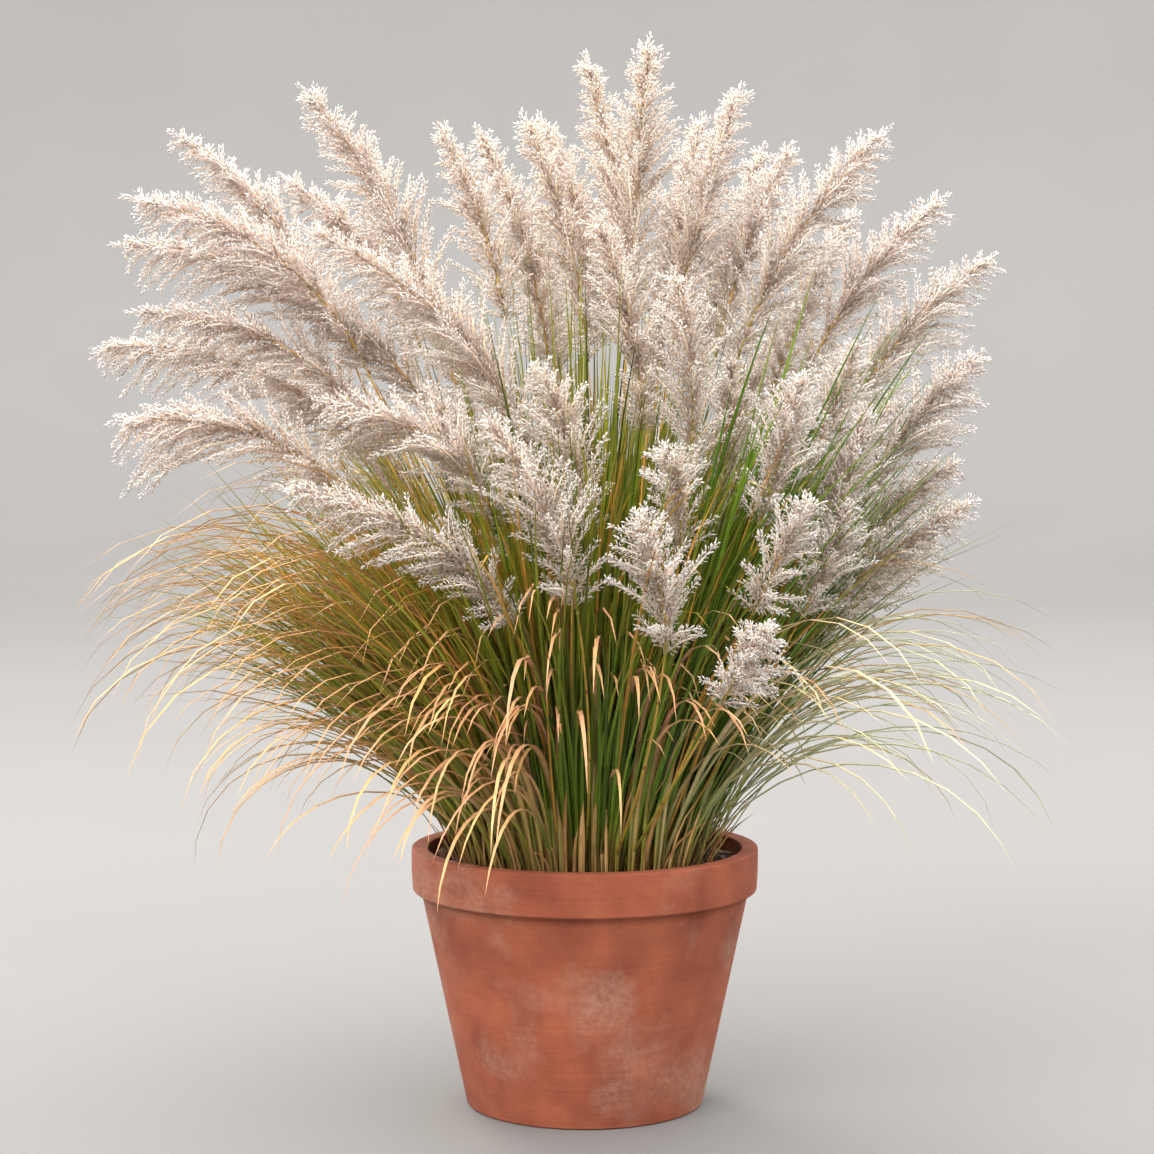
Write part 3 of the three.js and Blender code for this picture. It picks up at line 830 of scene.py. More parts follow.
PLUMES = (
    Plume("crest_1", (-0.186, 0.935), (-0.122, 0.750), (0.060, 0.040), 0.050),
    Plume("crest_2", (-0.137, 0.933), (-0.070, 0.715), (0.185, 0.140), 0.048),
    Plume("crest_3", (-0.080, 0.950), (-0.018, 0.720), (0.030, 0.015), 0.049),
    Plume("crest_4", (-0.058, 0.948), (0.002, 0.735), (0.165, 0.120), 0.046),
    Plume("crest_5", (0.0, 1.025), (0.038, 0.770), (0.070, 0.060), 0.049),
    Plume("crest_6", (0.082, 1.045), (0.062, 0.790), (-0.030, -0.020), 0.057),
    Plume("crest_7", (0.150, 0.950), (0.112, 0.735), (0.165, 0.110), 0.048),
    Plume("crest_8", (0.198, 0.985), (0.135, 0.745), (0.030, 0.020), 0.055),
    Plume("crest_9", (0.228, 0.910), (0.170, 0.700), (0.200, 0.130), 0.046),
    Plume("crest_10", (0.263, 0.913), (0.192, 0.715), (0.105, 0.060), 0.048),
    Plume("crest_11", (0.385, 0.933), (0.240, 0.705), (0.0, -0.010), 0.059),
    Plume("right_1", (0.342, 0.828), (0.262, 0.650), (0.200, 0.120), 0.048),
    Plume("right_2", (0.460, 0.847), (0.315, 0.655), (0.085, 0.050), 0.055),
    Plume("right_3", (0.520, 0.772), (0.365, 0.595), (-0.015, -0.015), 0.057),
    Plume("right_4", (0.505, 0.650), (0.375, 0.490), (-0.105, -0.085), 0.057),
    Plume("right_5", (0.478, 0.510), (0.350, 0.395), (-0.040, -0.050), 0.048),
    Plume("right_6", (0.500, 0.460), (0.352, 0.345), (-0.150, -0.130), 0.043),
    Plume("right_7", (0.450, 0.413), (0.322, 0.300), (0.040, 0.020), 0.041),
    Plume("left_1", (-0.523, 0.927), (-0.362, 0.745), (0.175, 0.150), 0.046),
    Plume("left_2", (-0.585, 0.845), (-0.350, 0.690), (-0.060, -0.050), 0.052),
    Plume("left_3", (-0.600, 0.785), (-0.340, 0.655), (0.060, 0.050), 0.055),
    Plume("left_4", (-0.580, 0.700), (-0.335, 0.580), (-0.040, -0.030), 0.052),
    Plume("left_5", (-0.625, 0.652), (-0.400, 0.575), (0.175, 0.140), 0.050),
    Plume("left_6", (-0.605, 0.558), (-0.368, 0.480), (-0.140, -0.120), 0.062),
    Plume("left_7", (-0.360, 0.985), (-0.215, 0.725), (0.010, 0.010), 0.057),
    Plume("left_8", (-0.385, 0.872), (-0.245, 0.700), (0.115, 0.090), 0.048),
    Plume("left_9", (-0.368, 0.810), (-0.125, 0.560), (-0.140, -0.120), 0.059),
    Plume("left_10", (-0.400, 0.750), (-0.215, 0.560), (0.008, -0.002), 0.050),
    Plume("left_11", (-0.430, 0.630), (-0.250, 0.470), (0.080, 0.055), 0.050),
    Plume("front_1", (-0.345, 0.588), (-0.118, 0.445), (-0.270, -0.240), 0.059),
    Plume("front_2", (-0.215, 0.610), (-0.088, 0.380), (-0.200, -0.160), 0.050),
    Plume("front_3", (-0.130, 0.570), (-0.010, 0.315), (-0.350, -0.320), 0.057),
    Plume("front_4", (-0.063, 0.633), (0.002, 0.420), (-0.240, -0.220), 0.059),
    Plume("front_5", (0.010, 0.822), (0.073, 0.545), (-0.130, -0.120), 0.055),
    Plume("front_6", (0.112, 0.753), (0.133, 0.490), (-0.220, -0.190), 0.055),
    Plume("front_7", (0.186, 0.647), (0.165, 0.420), (-0.120, -0.110), 0.048),
    Plume("front_8", (0.277, 0.622), (0.220, 0.425), (-0.290, -0.250), 0.055),
    Plume("front_9", (0.347, 0.665), (0.275, 0.470), (-0.175, -0.150), 0.052),
    Plume("front_10", (0.285, 0.465), (0.213, 0.315), (-0.390, -0.330), 0.048),
    Plume("front_11", (0.098, 0.531), (0.120, 0.390), (-0.330, -0.280), 0.046),
    Plume("front_12", (0.061, 0.447), (0.101, 0.265), (-0.430, -0.370), 0.057),
    Plume("front_13", (0.232, 0.302), (0.173, 0.200), (-0.500, -0.390), 0.043),
    Plume("front_14", (0.355, 0.580), (0.295, 0.385), (-0.215, -0.200), 0.050),
    Plume("front_15", (0.335, 0.460), (0.275, 0.310), (-0.265, -0.230), 0.046),
    Plume("front_16", (-0.395, 0.478), (-0.090, 0.295), (-0.330, -0.300), 0.050),
    Plume("rear_1", (-0.060, 0.830), (-0.035, 0.600), (0.330, 0.220), 0.052),
    Plume("rear_2", (-0.230, 0.780), (-0.150, 0.570), (0.300, 0.200), 0.052),
    Plume("rear_3", (0.140, 0.790), (0.085, 0.570), (0.360, 0.250), 0.052),
    Plume("rear_4", (0.290, 0.720), (0.190, 0.530), (0.320, 0.220), 0.052),
    Plume("rear_5", (-0.370, 0.650), (-0.240, 0.460), (0.260, 0.180), 0.052),
    Plume("rear_6", (0.400, 0.590), (0.280, 0.420), (0.230, 0.160), 0.052),
    Plume("rear_7", (-0.120, 0.610), (-0.085, 0.410), (0.470, 0.330), 0.052),
    Plume("rear_8", (0.110, 0.570), (0.075, 0.370), (0.500, 0.350), 0.052),
    Plume("rear_9", (-0.310, 0.480), (-0.210, 0.320), (0.390, 0.280), 0.052),
    Plume("rear_10", (0.290, 0.450), (0.200, 0.300), (0.420, 0.300), 0.052),
    Plume("rear_11", (-0.010, 0.400), (-0.005, 0.240), (0.520, 0.390), 0.052),
)


@dataclass
class Layout:
    """Turns a plume's row into its culm and the axis of its panicle."""

    root_spread: float = 0.112
    root_depth: float = 0.007
    full_spread_at: float = 0.33
    nod: float = 0.28
    culm_pull: float = 0.45
    axis_pull: float = 0.5

    def placed(self, seen: tuple[float, float], depth: float) -> np.ndarray:
        """Move a point back to its depth along the line of sight."""
        share = (EYE_DISTANCE + depth) / EYE_DISTANCE
        return np.array([seen[0] * share, depth, SOIL_LEVEL + mix(EYE_HEIGHT, seen[1], share)])

    @staticmethod
    def hidden(plume: Plume) -> float:
        """Return how far a panicle goes on below what shows, as a share of it."""
        return Stand[plume.name.split("_")[0].upper()].value

    def curves(self, plume: Plume) -> tuple[Bend, Bend]:
        """Lay out one plume.

        Args:
            plume: The plume's row.

        Returns:
            The culm and the panicle's axis, which share one direction where they meet.
        """
        top = self.placed(plume.tip, plume.depth[0])
        foot = self.placed(plume.foot, plume.depth[1])
        foot = mix(foot, top, -self.hidden(plume))
        reach = math.hypot(foot[0], foot[1])
        spread = self.root_spread * min(1, reach / self.full_spread_at) / reach
        root = np.array([foot[0] * spread, foot[1] * spread, SOIL_LEVEL - self.root_depth])
        rise, run = foot - root, top - foot
        heading = unit(mix(unit(rise), unit(run), self.nod))
        culm_bend = foot - heading * self.culm_pull * np.linalg.norm(rise)
        axis_bend = foot + heading * self.axis_pull * np.linalg.norm(run)
        culm = Bend(root[None], culm_bend[None], foot[None])
        return culm, Bend(foot[None], axis_bend[None], top[None])


@dataclass(frozen=True)
class Silk:
    """The silk's colour over the clump: a painted warm glow of the backlight in the upper middle, in
    peach, and the silk's own tones, blushed to the left and silvery to the right."""

    middle: float = 0.02
    breadth: float = 0.26
    backlight_from: float = 0.45
    backlight_over: float = 0.35
    backlight_peach: float = 0.75
    side_rate: float = 1.9
    most: float = 0.9

    def at(self, places: np.ndarray, lavender: float) -> np.ndarray:
        """Return the silk's colour at places of a plume.

        Args:
            places: The places.
            lavender: How far this plume's silver turns to lavender.

        Returns:
            A colour for each place.
        """
        across, height = places[:, 0], places[:, 2] - SOIL_LEVEL
        # Painted backlight: a peach glow over the upper middle of the clump, rising with height.
        painted_backlight = np.exp(-(((across - self.middle) / self.breadth) ** 2))
        painted_backlight = painted_backlight * np.clip((height - self.backlight_from) / self.backlight_over, 0, 1)
        left = np.clip(-across * self.side_rate, 0, self.most)
        right = np.clip(across * self.side_rate + 0.1, 0, self.most)
        colours = blend_colours(Tone.CREAM.colour(), Tone.BACKLIGHT_PEACH.colour(), painted_backlight * self.backlight_peach)
        colours = blend_colours(colours, Tone.BLUSH.colour(), left)
        return blend_colours(colours, mix(Tone.SILVER.colour(), Tone.LAVENDER.colour(), lavender), right)


@dataclass
class Panicle:
    """A feathery head: branches rise from its axis, and each bristles with spikelets.

    Angles are degrees, and heights on the axis are shares of its length. A pair goes from root to
    tip or from least to most, but the elbow says how far out and how far on a branch bends, and
    the leader says where the axis's last stretch starts and bends.
    """

    plume: Plume
    axis: Bend
    seed: int
    outline: Swell = Swell(foot=0.68, tip=0.16, widest_at=0.26, taper=1.15)
    branch_spacing: float = 0.0034
    last_branch: float = 0.94
    fullness: float = 0.57
    uneven: float = 0.62
    branch_lean: tuple[float, float] = (26.0, 38.0)
    foot_splay: float = 26.0
    splay_up_to: float = 0.24
    hanging: float = 0.75
    sag: float = 0.05
    nodding_sag: float = 0.34
    elbow: tuple[float, float] = (0.34, 0.56)
    parting: float = 0.6
    parting_up_to: float = 0.6
    leader: tuple[float, float] = (0.86, 0.94)
    spikelet_spacing: float = 0.00122
    fewest: int = 8
    bare_root: float = 0.06
    spikelet_length: float = 0.0102
    spikelet_width: float = 0.0027
    spikelet_lean: tuple[float, float] = (56.0, 34.0)
    lean_scatter: float = 13.0
    roll_scatter: float = 0.7
    size_along: tuple[float, float] = (1.2, 0.74)
    size_scatter: tuple[float, float] = (0.8, 1.2)
    husks: float = 0.09
    root_shade: float = 0.95
    down_radius: float = 0.0018
    rachis_radius: float = 0.0018
    silk: Silk = Silk()
    draw: np.random.Generator = field(init=False)
    lavender: float = field(init=False)

    def __post_init__(self) -> None:
        """Start the panicle's own random draw and choose its tone."""
        self.draw = np.random.default_rng(self.seed)
        self.lavender = (self.seed * 0.37) % 1.0

    def branches(self) -> Bend:
        """Lay out the branches round the axis, and last the leader that ends it.

        Those under a nodding axis hang longer than those above it. Low down some are missing
        in front, where the axis shows.

        Returns:
            The branches' curves.
        """
        length = float(np.linalg.norm(self.axis.end - self.axis.start))
        count = int(length / self.branch_spacing)
        share = (np.arange(count) + self.draw.random(count)) / count * self.last_branch
        turn = np.arange(count) * GOLDEN_ANGLE + self.draw.uniform(-0.5, 0.5, count)
        one = self.axis.rows(np.zeros(count, int))
        start, heading = one.at(share), one.heading(share)
        out = around(*crossways(heading), turn)
        nod = 1 - np.clip(heading[:, 2], 0, 1)
        fullness = self.fullness + self.uneven * self.draw.random(count) ** 0.6
        hanging = 1 + self.hanging * nod * np.maximum(0, -out[:, 2])
        reach = self.plume.half * self.outline.at(share) * fullness * hanging
        splay = self.foot_splay * np.clip(1 - share / self.splay_up_to, 0, 1)
        lean = np.radians(self.draw.uniform(*self.branch_lean, count) + splay)
        forward = reach / np.tan(lean) * mix(1, 0.6, share)
        sag = forward * (self.sag + self.nodding_sag * nod)
        spread, onward = out * reach[:, None], heading * forward[:, None]
        end = start + spread + onward - UP * sag[:, None]
        middle = start + spread * self.elbow[0] + onward * self.elbow[1]
        before = np.maximum(0, -out[:, 1]) * np.clip((self.parting_up_to - share) * 4, 0, 1)
        kept = self.draw.random(count) > before * self.parting
        leader = Bend(*(self.axis.at(np.array([place])) for place in self.leader), self.axis.end)
        return Bend.joined([Bend(start, middle, end).rows(kept), leader])

    def spikelets(self, curves: Bend, master: Master) -> Shape:
        """Cover the branches with spikelets.

        Args:
            curves: The branches.
            master: The spikelet's shape.

        Returns:
            All the spikelets of the panicle.
        """
        span = np.linalg.norm(curves.end - curves.start, axis=1)
        counts = np.maximum(self.fewest, span / self.spikelet_spacing).astype(int)
        branch = np.repeat(np.arange(len(counts)), counts)
        total = len(branch)
        order = np.arange(total) - np.repeat(np.cumsum(counts) - counts, counts)
        place = (order + self.draw.random(total)) / counts[branch]
        share = self.bare_root + (1 - self.bare_root) * place
        each = curves.rows(branch)
        root, heading = each.at(share), each.heading(share)
        turn = order * GOLDEN_ANGLE + self.draw.uniform(-0.6, 0.6, total)
        out = around(*crossways(heading), turn)
        lean = np.radians(mix(*self.spikelet_lean, share) + self.draw.normal(0, self.lean_scatter, total))
        along = unit(around(heading, out, lean))
        flat = np.cross(heading, out) + out * self.draw.normal(0, self.roll_scatter, total)[:, None]
        flat = unit(flat - along * np.sum(flat * along, axis=1, keepdims=True))
        length = self.spikelet_length * mix(*self.size_along, share)
        length = (length * self.draw.uniform(*self.size_scatter, total))[:, None]
        width = (self.spikelet_width * self.draw.uniform(*self.size_scatter, total) / 2)[:, None]
        frames = np.stack([flat * width, np.cross(along, flat) * width, along * length], axis=1)
        points, triangles = master.placed(root, frames)
        return Shape(points, triangles, self.spikelet_colours(root, share, branch))

    def spikelet_colours(self, root: np.ndarray, share: np.ndarray, branch: np.ndarray) -> np.ndarray:
        """Colour the spikelets: warmer painted shade within the plume, some as dry husks, and painted
        light near each branch's root fading to painted shade towards its lit tip.

        Args:
            root: The spikelets' places.
            share: Their shares of the branch.
            branch: The branch of each.

        Returns:
            A colour for each of their points.
        """
        total = len(root)
        # Painted shade: spikelets near a branch's root, deep in the plume, turn towards the shade colour.
        inner = np.clip(0.8 - share * 1.25, 0, 1) * 0.6 + self.draw.random(total) * 0.14
        colours = blend_colours(self.silk.at(root, self.lavender), Tone.SHADE.colour(), inner)
        husk = (self.draw.random(total) < self.husks) * 0.6
        colours = blend_colours(colours, Tone.HUSK.colour(), husk)
        finger = self.draw.uniform(0.9, 1.05, branch[-1] + 1)[branch]
        # Painted light and shade: brighter near the branch's root and darker towards its lit tip, to even
        # out the lighting.
        tip_shade_root_light = mix(1.08, 0.8, share) * finger * self.draw.uniform(0.9, 1.06, total)
        light = np.array([self.root_shade, 1.0, 1.0, 1.0])
        lit = (colours * tip_shade_root_light[:, None])[:, None, :] * light[None, :, None]
        return np.clip(lit.reshape(-1, 3), 0, 0.97)

    def down(self, curves: Bend, master: Master) -> Shape:
        """Fill the heart of each branch with a slim body of soft down round its twig.

        Args:
            curves: The branches.
            master: The down's shape.

        Returns:
            The down of all branches.
        """
        width = 2 * self.down_radius * self.draw.uniform(0.8, 1.15, len(curves.start))
        points, triangles, share = master.along(curves.paths(2), width, width / 2)
        silk = master.each(self.silk.at(curves.end, self.lavender))
        # Painted shade: the down takes the shade colour at its root and the silk's colour towards its
        # end.
        colours = blend_colours(Tone.SHADE.colour(), silk, 0.15 + share * 0.8)
        return Shape(points, triangles, colours * self.draw.uniform(0.86, 1.0, len(points))[:, None])

    def rachis(self, master: Master) -> Shape:
        """Model the panicle's axis, which goes on from the culm.

        Args:
            master: The axis's shape.

        Returns:
            The axis.
        """
        width = np.array([2 * self.rachis_radius])
        points, triangles, share = master.along(self.axis.paths(12), width, width / 2)
        colours = blend_colours(Tone.RACHIS_FOOT.colour(), Tone.RACHIS_TIP.colour(), share * 1.2)
        return Shape(points, triangles, colours)

    def build(
        self, spikelet: Master, down: Master, rachis: Master, finish: bpy.types.Material
    ) -> int:
        """Build the whole panicle as one piece.

        Args:
            spikelet: The spikelet's shape.
            down: The shape of a branch's down.
            rachis: The axis's shape.
            finish: Its finish.

        Returns:
            How many triangles it has.
        """
        curves = self.branches()
        parts = [self.spikelets(curves, spikelet), self.down(curves, down), self.rachis(rachis)]
        shape = Shape.joined(parts)
        name = f"plume_{self.plume.name}"
        Piece.make(name, shape, finish, "panicle", (f"panicle_{self.plume.name}",))
        return len(shape.triangles)


@dataclass(frozen=True)
class Growth:
    """How a sheaf of blades stands: for each blade where it grows and how it leans and bends."""

    azimuth: np.ndarray
    root_radius: np.ndarray
    lean: np.ndarray
    bend: np.ndarray
    curl: np.ndarray
    drift: np.ndarray
    length: np.ndarray

    def paths(self, steps: int, root_height: float) -> np.ndarray:
        """Follow every blade from its root.

        Args:
            steps: How many stretches each path has.
            root_height: The roots' height.

        Returns:
            An array of blades by points by three.
        """
        fine = 6
        share = (np.arange(steps * fine) + 0.5) / (steps * fine)
        tilt = self.lean[:, None] + self.bend[:, None] * share[None] ** self.curl[:, None]
        heading = self.azimuth[:, None] + self.drift[:, None] * share[None]
        hops = polar(np.sin(tilt), heading, np.cos(tilt)) * (self.length / (steps * fine))[:, None, None]
        root = polar(self.root_radius, self.azimuth, root_height)
        walked = root[:, None] + np.cumsum(hops, axis=1)
        return np.concatenate([root[:, None], walked[:, fine - 1 :: fine]], axis=1)

    def across(self, steps: int, twist: np.ndarray) -> np.ndarray:
        """Find each blade's sideways directions, turned about it more and more.

        Args:
            steps: How many stretches each path has.
            twist: How far each blade is turned at its tip.

        Returns:
            An array of blades by points by three.
        """
        share = np.linspace(0, 1, steps + 1)[None]
        turn = self.azimuth[:, None] + self.drift[:, None] * share + twist[:, None] * share
        return np.stack([-np.sin(turn), np.cos(turn), np.zeros_like(turn)], axis=-1)


class LeafTone(Swatch):
    """Colours of the leaves and culms."""

    DEEP = (26, 48, 12)
    GREEN = (68, 104, 24)
    BRIGHT = (120, 148, 36)
    LIME = (158, 160, 50)
    GOLD = (204, 152, 68)
    STRAW = (222, 184, 122)
    ROSE_STRAW = (206, 152, 114)
    TAN = (158, 112, 66)
    PALE = (206, 210, 170)
    CULM = (200, 156, 70)
    JOINT = (132, 92, 44)

    def to(self, other: "LeafTone", share: np.ndarray) -> np.ndarray:
        """Return rows of colours that lie at shares between this one and another."""
        return blend_colours(self.colour(), other.colour(), share)


@dataclass
class Leaves:
    """One kind of blade, tan at its root, and the sheaves that are made of it."""

    steps: int
    sheath: float
    tip: float
    thickness: float
    groove: float | None = None
    root_depth: float = 0.007
    tan_up_to: float = 0.13
    keel_light: float = 1.2
    edge_shade: float = 0.3
    master: Master = field(init=False)

    def __post_init__(self) -> None:
        """Model the blade that all others are copied from."""
        self.master = Master.blade(self.steps, self.sheath, self.tip, self.groove)

    def shape(
        self,
        draw: np.random.Generator,
        growth: Growth,
        width: tuple[float, float],
        most_twist: float,
        low: np.ndarray,
        high: np.ndarray,
        turn_at: tuple[float, float],
    ) -> Shape:
        """Copy the blade to every place of a growth.

        Args:
            draw: The random draw.
            growth: Where the blades stand and how they bend.
            width: The limits of their widths.
            most_twist: How far one turns about itself by its tip at the most, in radians.
            low: Their colours low down.
            high: Their colours higher up.
            turn_at: The shares of the length between which low turns to high.

        Returns:
            The sheaf.
        """
        count = len(growth.azimuth)
        widths, twist = draw.uniform(*width, count), draw.uniform(-most_twist, most_twist, count)
        paths = growth.paths(self.steps, SOIL_LEVEL - self.root_depth)
        sideways = growth.across(self.steps, twist)
        thickness = np.full(count, self.thickness)
        points, triangles, share = self.master.along(paths, widths, thickness, sideways)
        turned = (share - turn_at[0]) / (turn_at[1] - turn_at[0])
        colours = blend_colours(self.master.each(low), self.master.each(high), turned)
        colours = blend_colours(LeafTone.TAN.colour() * 0.75, colours, (share / self.tan_up_to) ** 0.8)
        across = np.tile(self.master.points[:, 0], count)
        light = self.keel_light - self.edge_shade * np.abs(across)
        return Shape(points, triangles, colours * light[:, None], across)


@dataclass(frozen=True)
class Sheaf:
    """Leaves that grow on one side of the clump: their number and how they arch, in degrees and
    metres. None passes the reach, measured outwards from the clump's axis."""

    count: int
    facing: float
    spread: float
    ring: tuple[float, float]
    length: tuple[float, float]
    lean: tuple[float, float]
    bend: tuple[float, float]
    curl: tuple[float, float]
    width: tuple[float, float]
    reach: float
    most_drift: float = 0.3
    most_twist: float = 0.7
    least_outwards: float = 0.05

    def growth(self, draw: np.random.Generator) -> Growth:
        """Draw where the leaves stand and how they arch.

        Args:
            draw: The random draw.

        Returns:
            Their growth.
        """
        azimuth = np.radians(self.facing + draw.uniform(-self.spread, self.spread, self.count))
        root_radius = draw.uniform(*self.ring, self.count)
        lean = np.radians(draw.uniform(*self.lean, self.count))
        bend = np.radians(draw.uniform(*self.bend, self.count))
        curl = draw.uniform(*self.curl, self.count)
        share = np.linspace(0, 1, 12)[None]
        outwards = np.sin(lean[:, None] + bend[:, None] * share ** curl[:, None]).mean(axis=1)
        limit = (self.reach - root_radius) / np.maximum(outwards, self.least_outwards)
        length = np.minimum(draw.uniform(*self.length, self.count), limit)
        drift = draw.uniform(-self.most_drift, self.most_drift, self.count)
        return Growth(azimuth, root_radius, lean, bend, curl, drift, length)


@dataclass
class GreenBlades:
    """The dense fan of upright blades, leaning further out towards the clump's edge, with taller
    ones at the right and in the middle, and nodding ones to the left and in front."""

    count: int = 3000
    spread: float = 0.134
    length: tuple[float, float] = (0.34, 0.66)
    width: tuple[float, float] = (0.0034, 0.0062)
    lean: tuple[float, float] = (-4, 8)
    edge_lean: tuple[float, float] = (20, 35)
    least_bend: float = 4
    edge_bend: tuple[float, float] = (48, 66)
    upright: Sheaf = Sheaf(
        count=90, facing=-34, spread=24, ring=(0.07, 0.13), length=(0.56, 0.82), lean=(15, 29),
        bend=(5, 35), curl=(1.2, 2.2), width=(0.006, 0.009), reach=0.5,
    )
    inner: Sheaf = Sheaf(
        count=150, facing=90, spread=180, ring=(0.01, 0.1), length=(0.6, 0.8), lean=(-2, 9),
        bend=(0, 24), curl=(1.2, 2.2), width=(0.0045, 0.007), reach=0.3,
    )
    nodding: Sheaf = Sheaf(
        count=80, facing=240, spread=105, ring=(0.05, 0.13), length=(0.48, 0.74), lean=(1, 22),
        bend=(50, 125), curl=(2.2, 3.8), width=(0.0045, 0.0075), reach=0.45,
    )

    def fan(self, draw: np.random.Generator) -> Growth:
        """Draw where the blades of the fan stand and how they lean.

        Args:
            draw: The random draw.

        Returns:
            Their growth, the pairs of angles taken at the right and at the left.
        """
        index = np.arange(self.count)
        share = np.sqrt((index + 0.5) / self.count)
        azimuth = index * GOLDEN_ANGLE + draw.uniform(-0.15, 0.15, self.count)
        leftward = np.maximum(0, -np.cos(azimuth))
        lean = draw.uniform(*self.lean, self.count) + share * mix(*self.edge_lean, leftward)
        most_bend = mix(*self.edge_bend, leftward)
        bend = self.least_bend + share * draw.uniform(6, most_bend, self.count)
        return Growth(
            azimuth,
            self.spread * share,
            np.radians(lean),
            np.radians(bend),
            draw.uniform(1.3, 2.2, self.count),
            draw.uniform(-0.3, 0.3, self.count),
            mix(*self.length, 1 - np.sqrt(share) * draw.random(self.count)),
        )

    def colours(self, growth: Growth, draw: np.random.Generator) -> tuple[np.ndarray, np.ndarray]:
        """Choose each blade's colour low down and at its tip.

        Args:
            growth: Where the blades stand.
            draw: The random draw.

        Returns:
            The colours of the blades' bodies and of their tips.
        """
        body = LeafTone.DEEP.to(LeafTone.GREEN, draw.random(self.count) ** 0.8)
        body = blend_colours(body, LeafTone.BRIGHT.colour(), draw.random(self.count) ** 2)
        left = np.clip(0.2 - np.cos(growth.azimuth), 0, 1) * growth.root_radius / self.spread
        body = blend_colours(body, LeafTone.LIME.colour(), left * draw.random(self.count) ** 0.7)
        dry = draw.random(self.count) < 0.1 + 0.12 * left
        gold = LeafTone.GOLD.colour() * draw.uniform(0.6, 1.1, self.count)[:, None]
        body = np.where(dry[:, None], gold, body)
        gilt = draw.random(self.count) * mix(0.35, 0.5, left)
        return body, blend_colours(body, LeafTone.GOLD.colour(), gilt)

    def build(self, leaf: bpy.types.Material) -> None:
        """Build all the green blades as one piece.

        Args:
            leaf: Its finish.
        """
        draw = np.random.default_rng(71)
        short = Leaves(steps=5, sheath=0.6, tip=0.14, thickness=0.0011)
        long = Leaves(steps=12, sheath=0.6, tip=0.1, thickness=0.0017, groove=-0.5)
        fan = self.fan(draw)
        shapes = [short.shape(draw, fan, self.width, 1, *self.colours(fan, draw), (0.5, 1))]
        for sheaf, leaves, first, second in (
            (self.upright, long, LeafTone.GREEN, LeafTone.BRIGHT),
            (self.inner, short, LeafTone.DEEP, LeafTone.LIME),
            (self.nodding, long, LeafTone.LIME, LeafTone.GOLD),
        ):
            body = first.to(second, draw.random(sheaf.count))
            growth, twist = sheaf.growth(draw), sheaf.most_twist
            shapes.append(leaves.shape(draw, growth, sheaf.width, twist, body, body * 1.1, (0.4, 0.9)))
        shape = Shape.joined(shapes)
        Piece.make("green_blades", shape, leaf, "green_leaf", ("leafy_clump",), smooth=True)


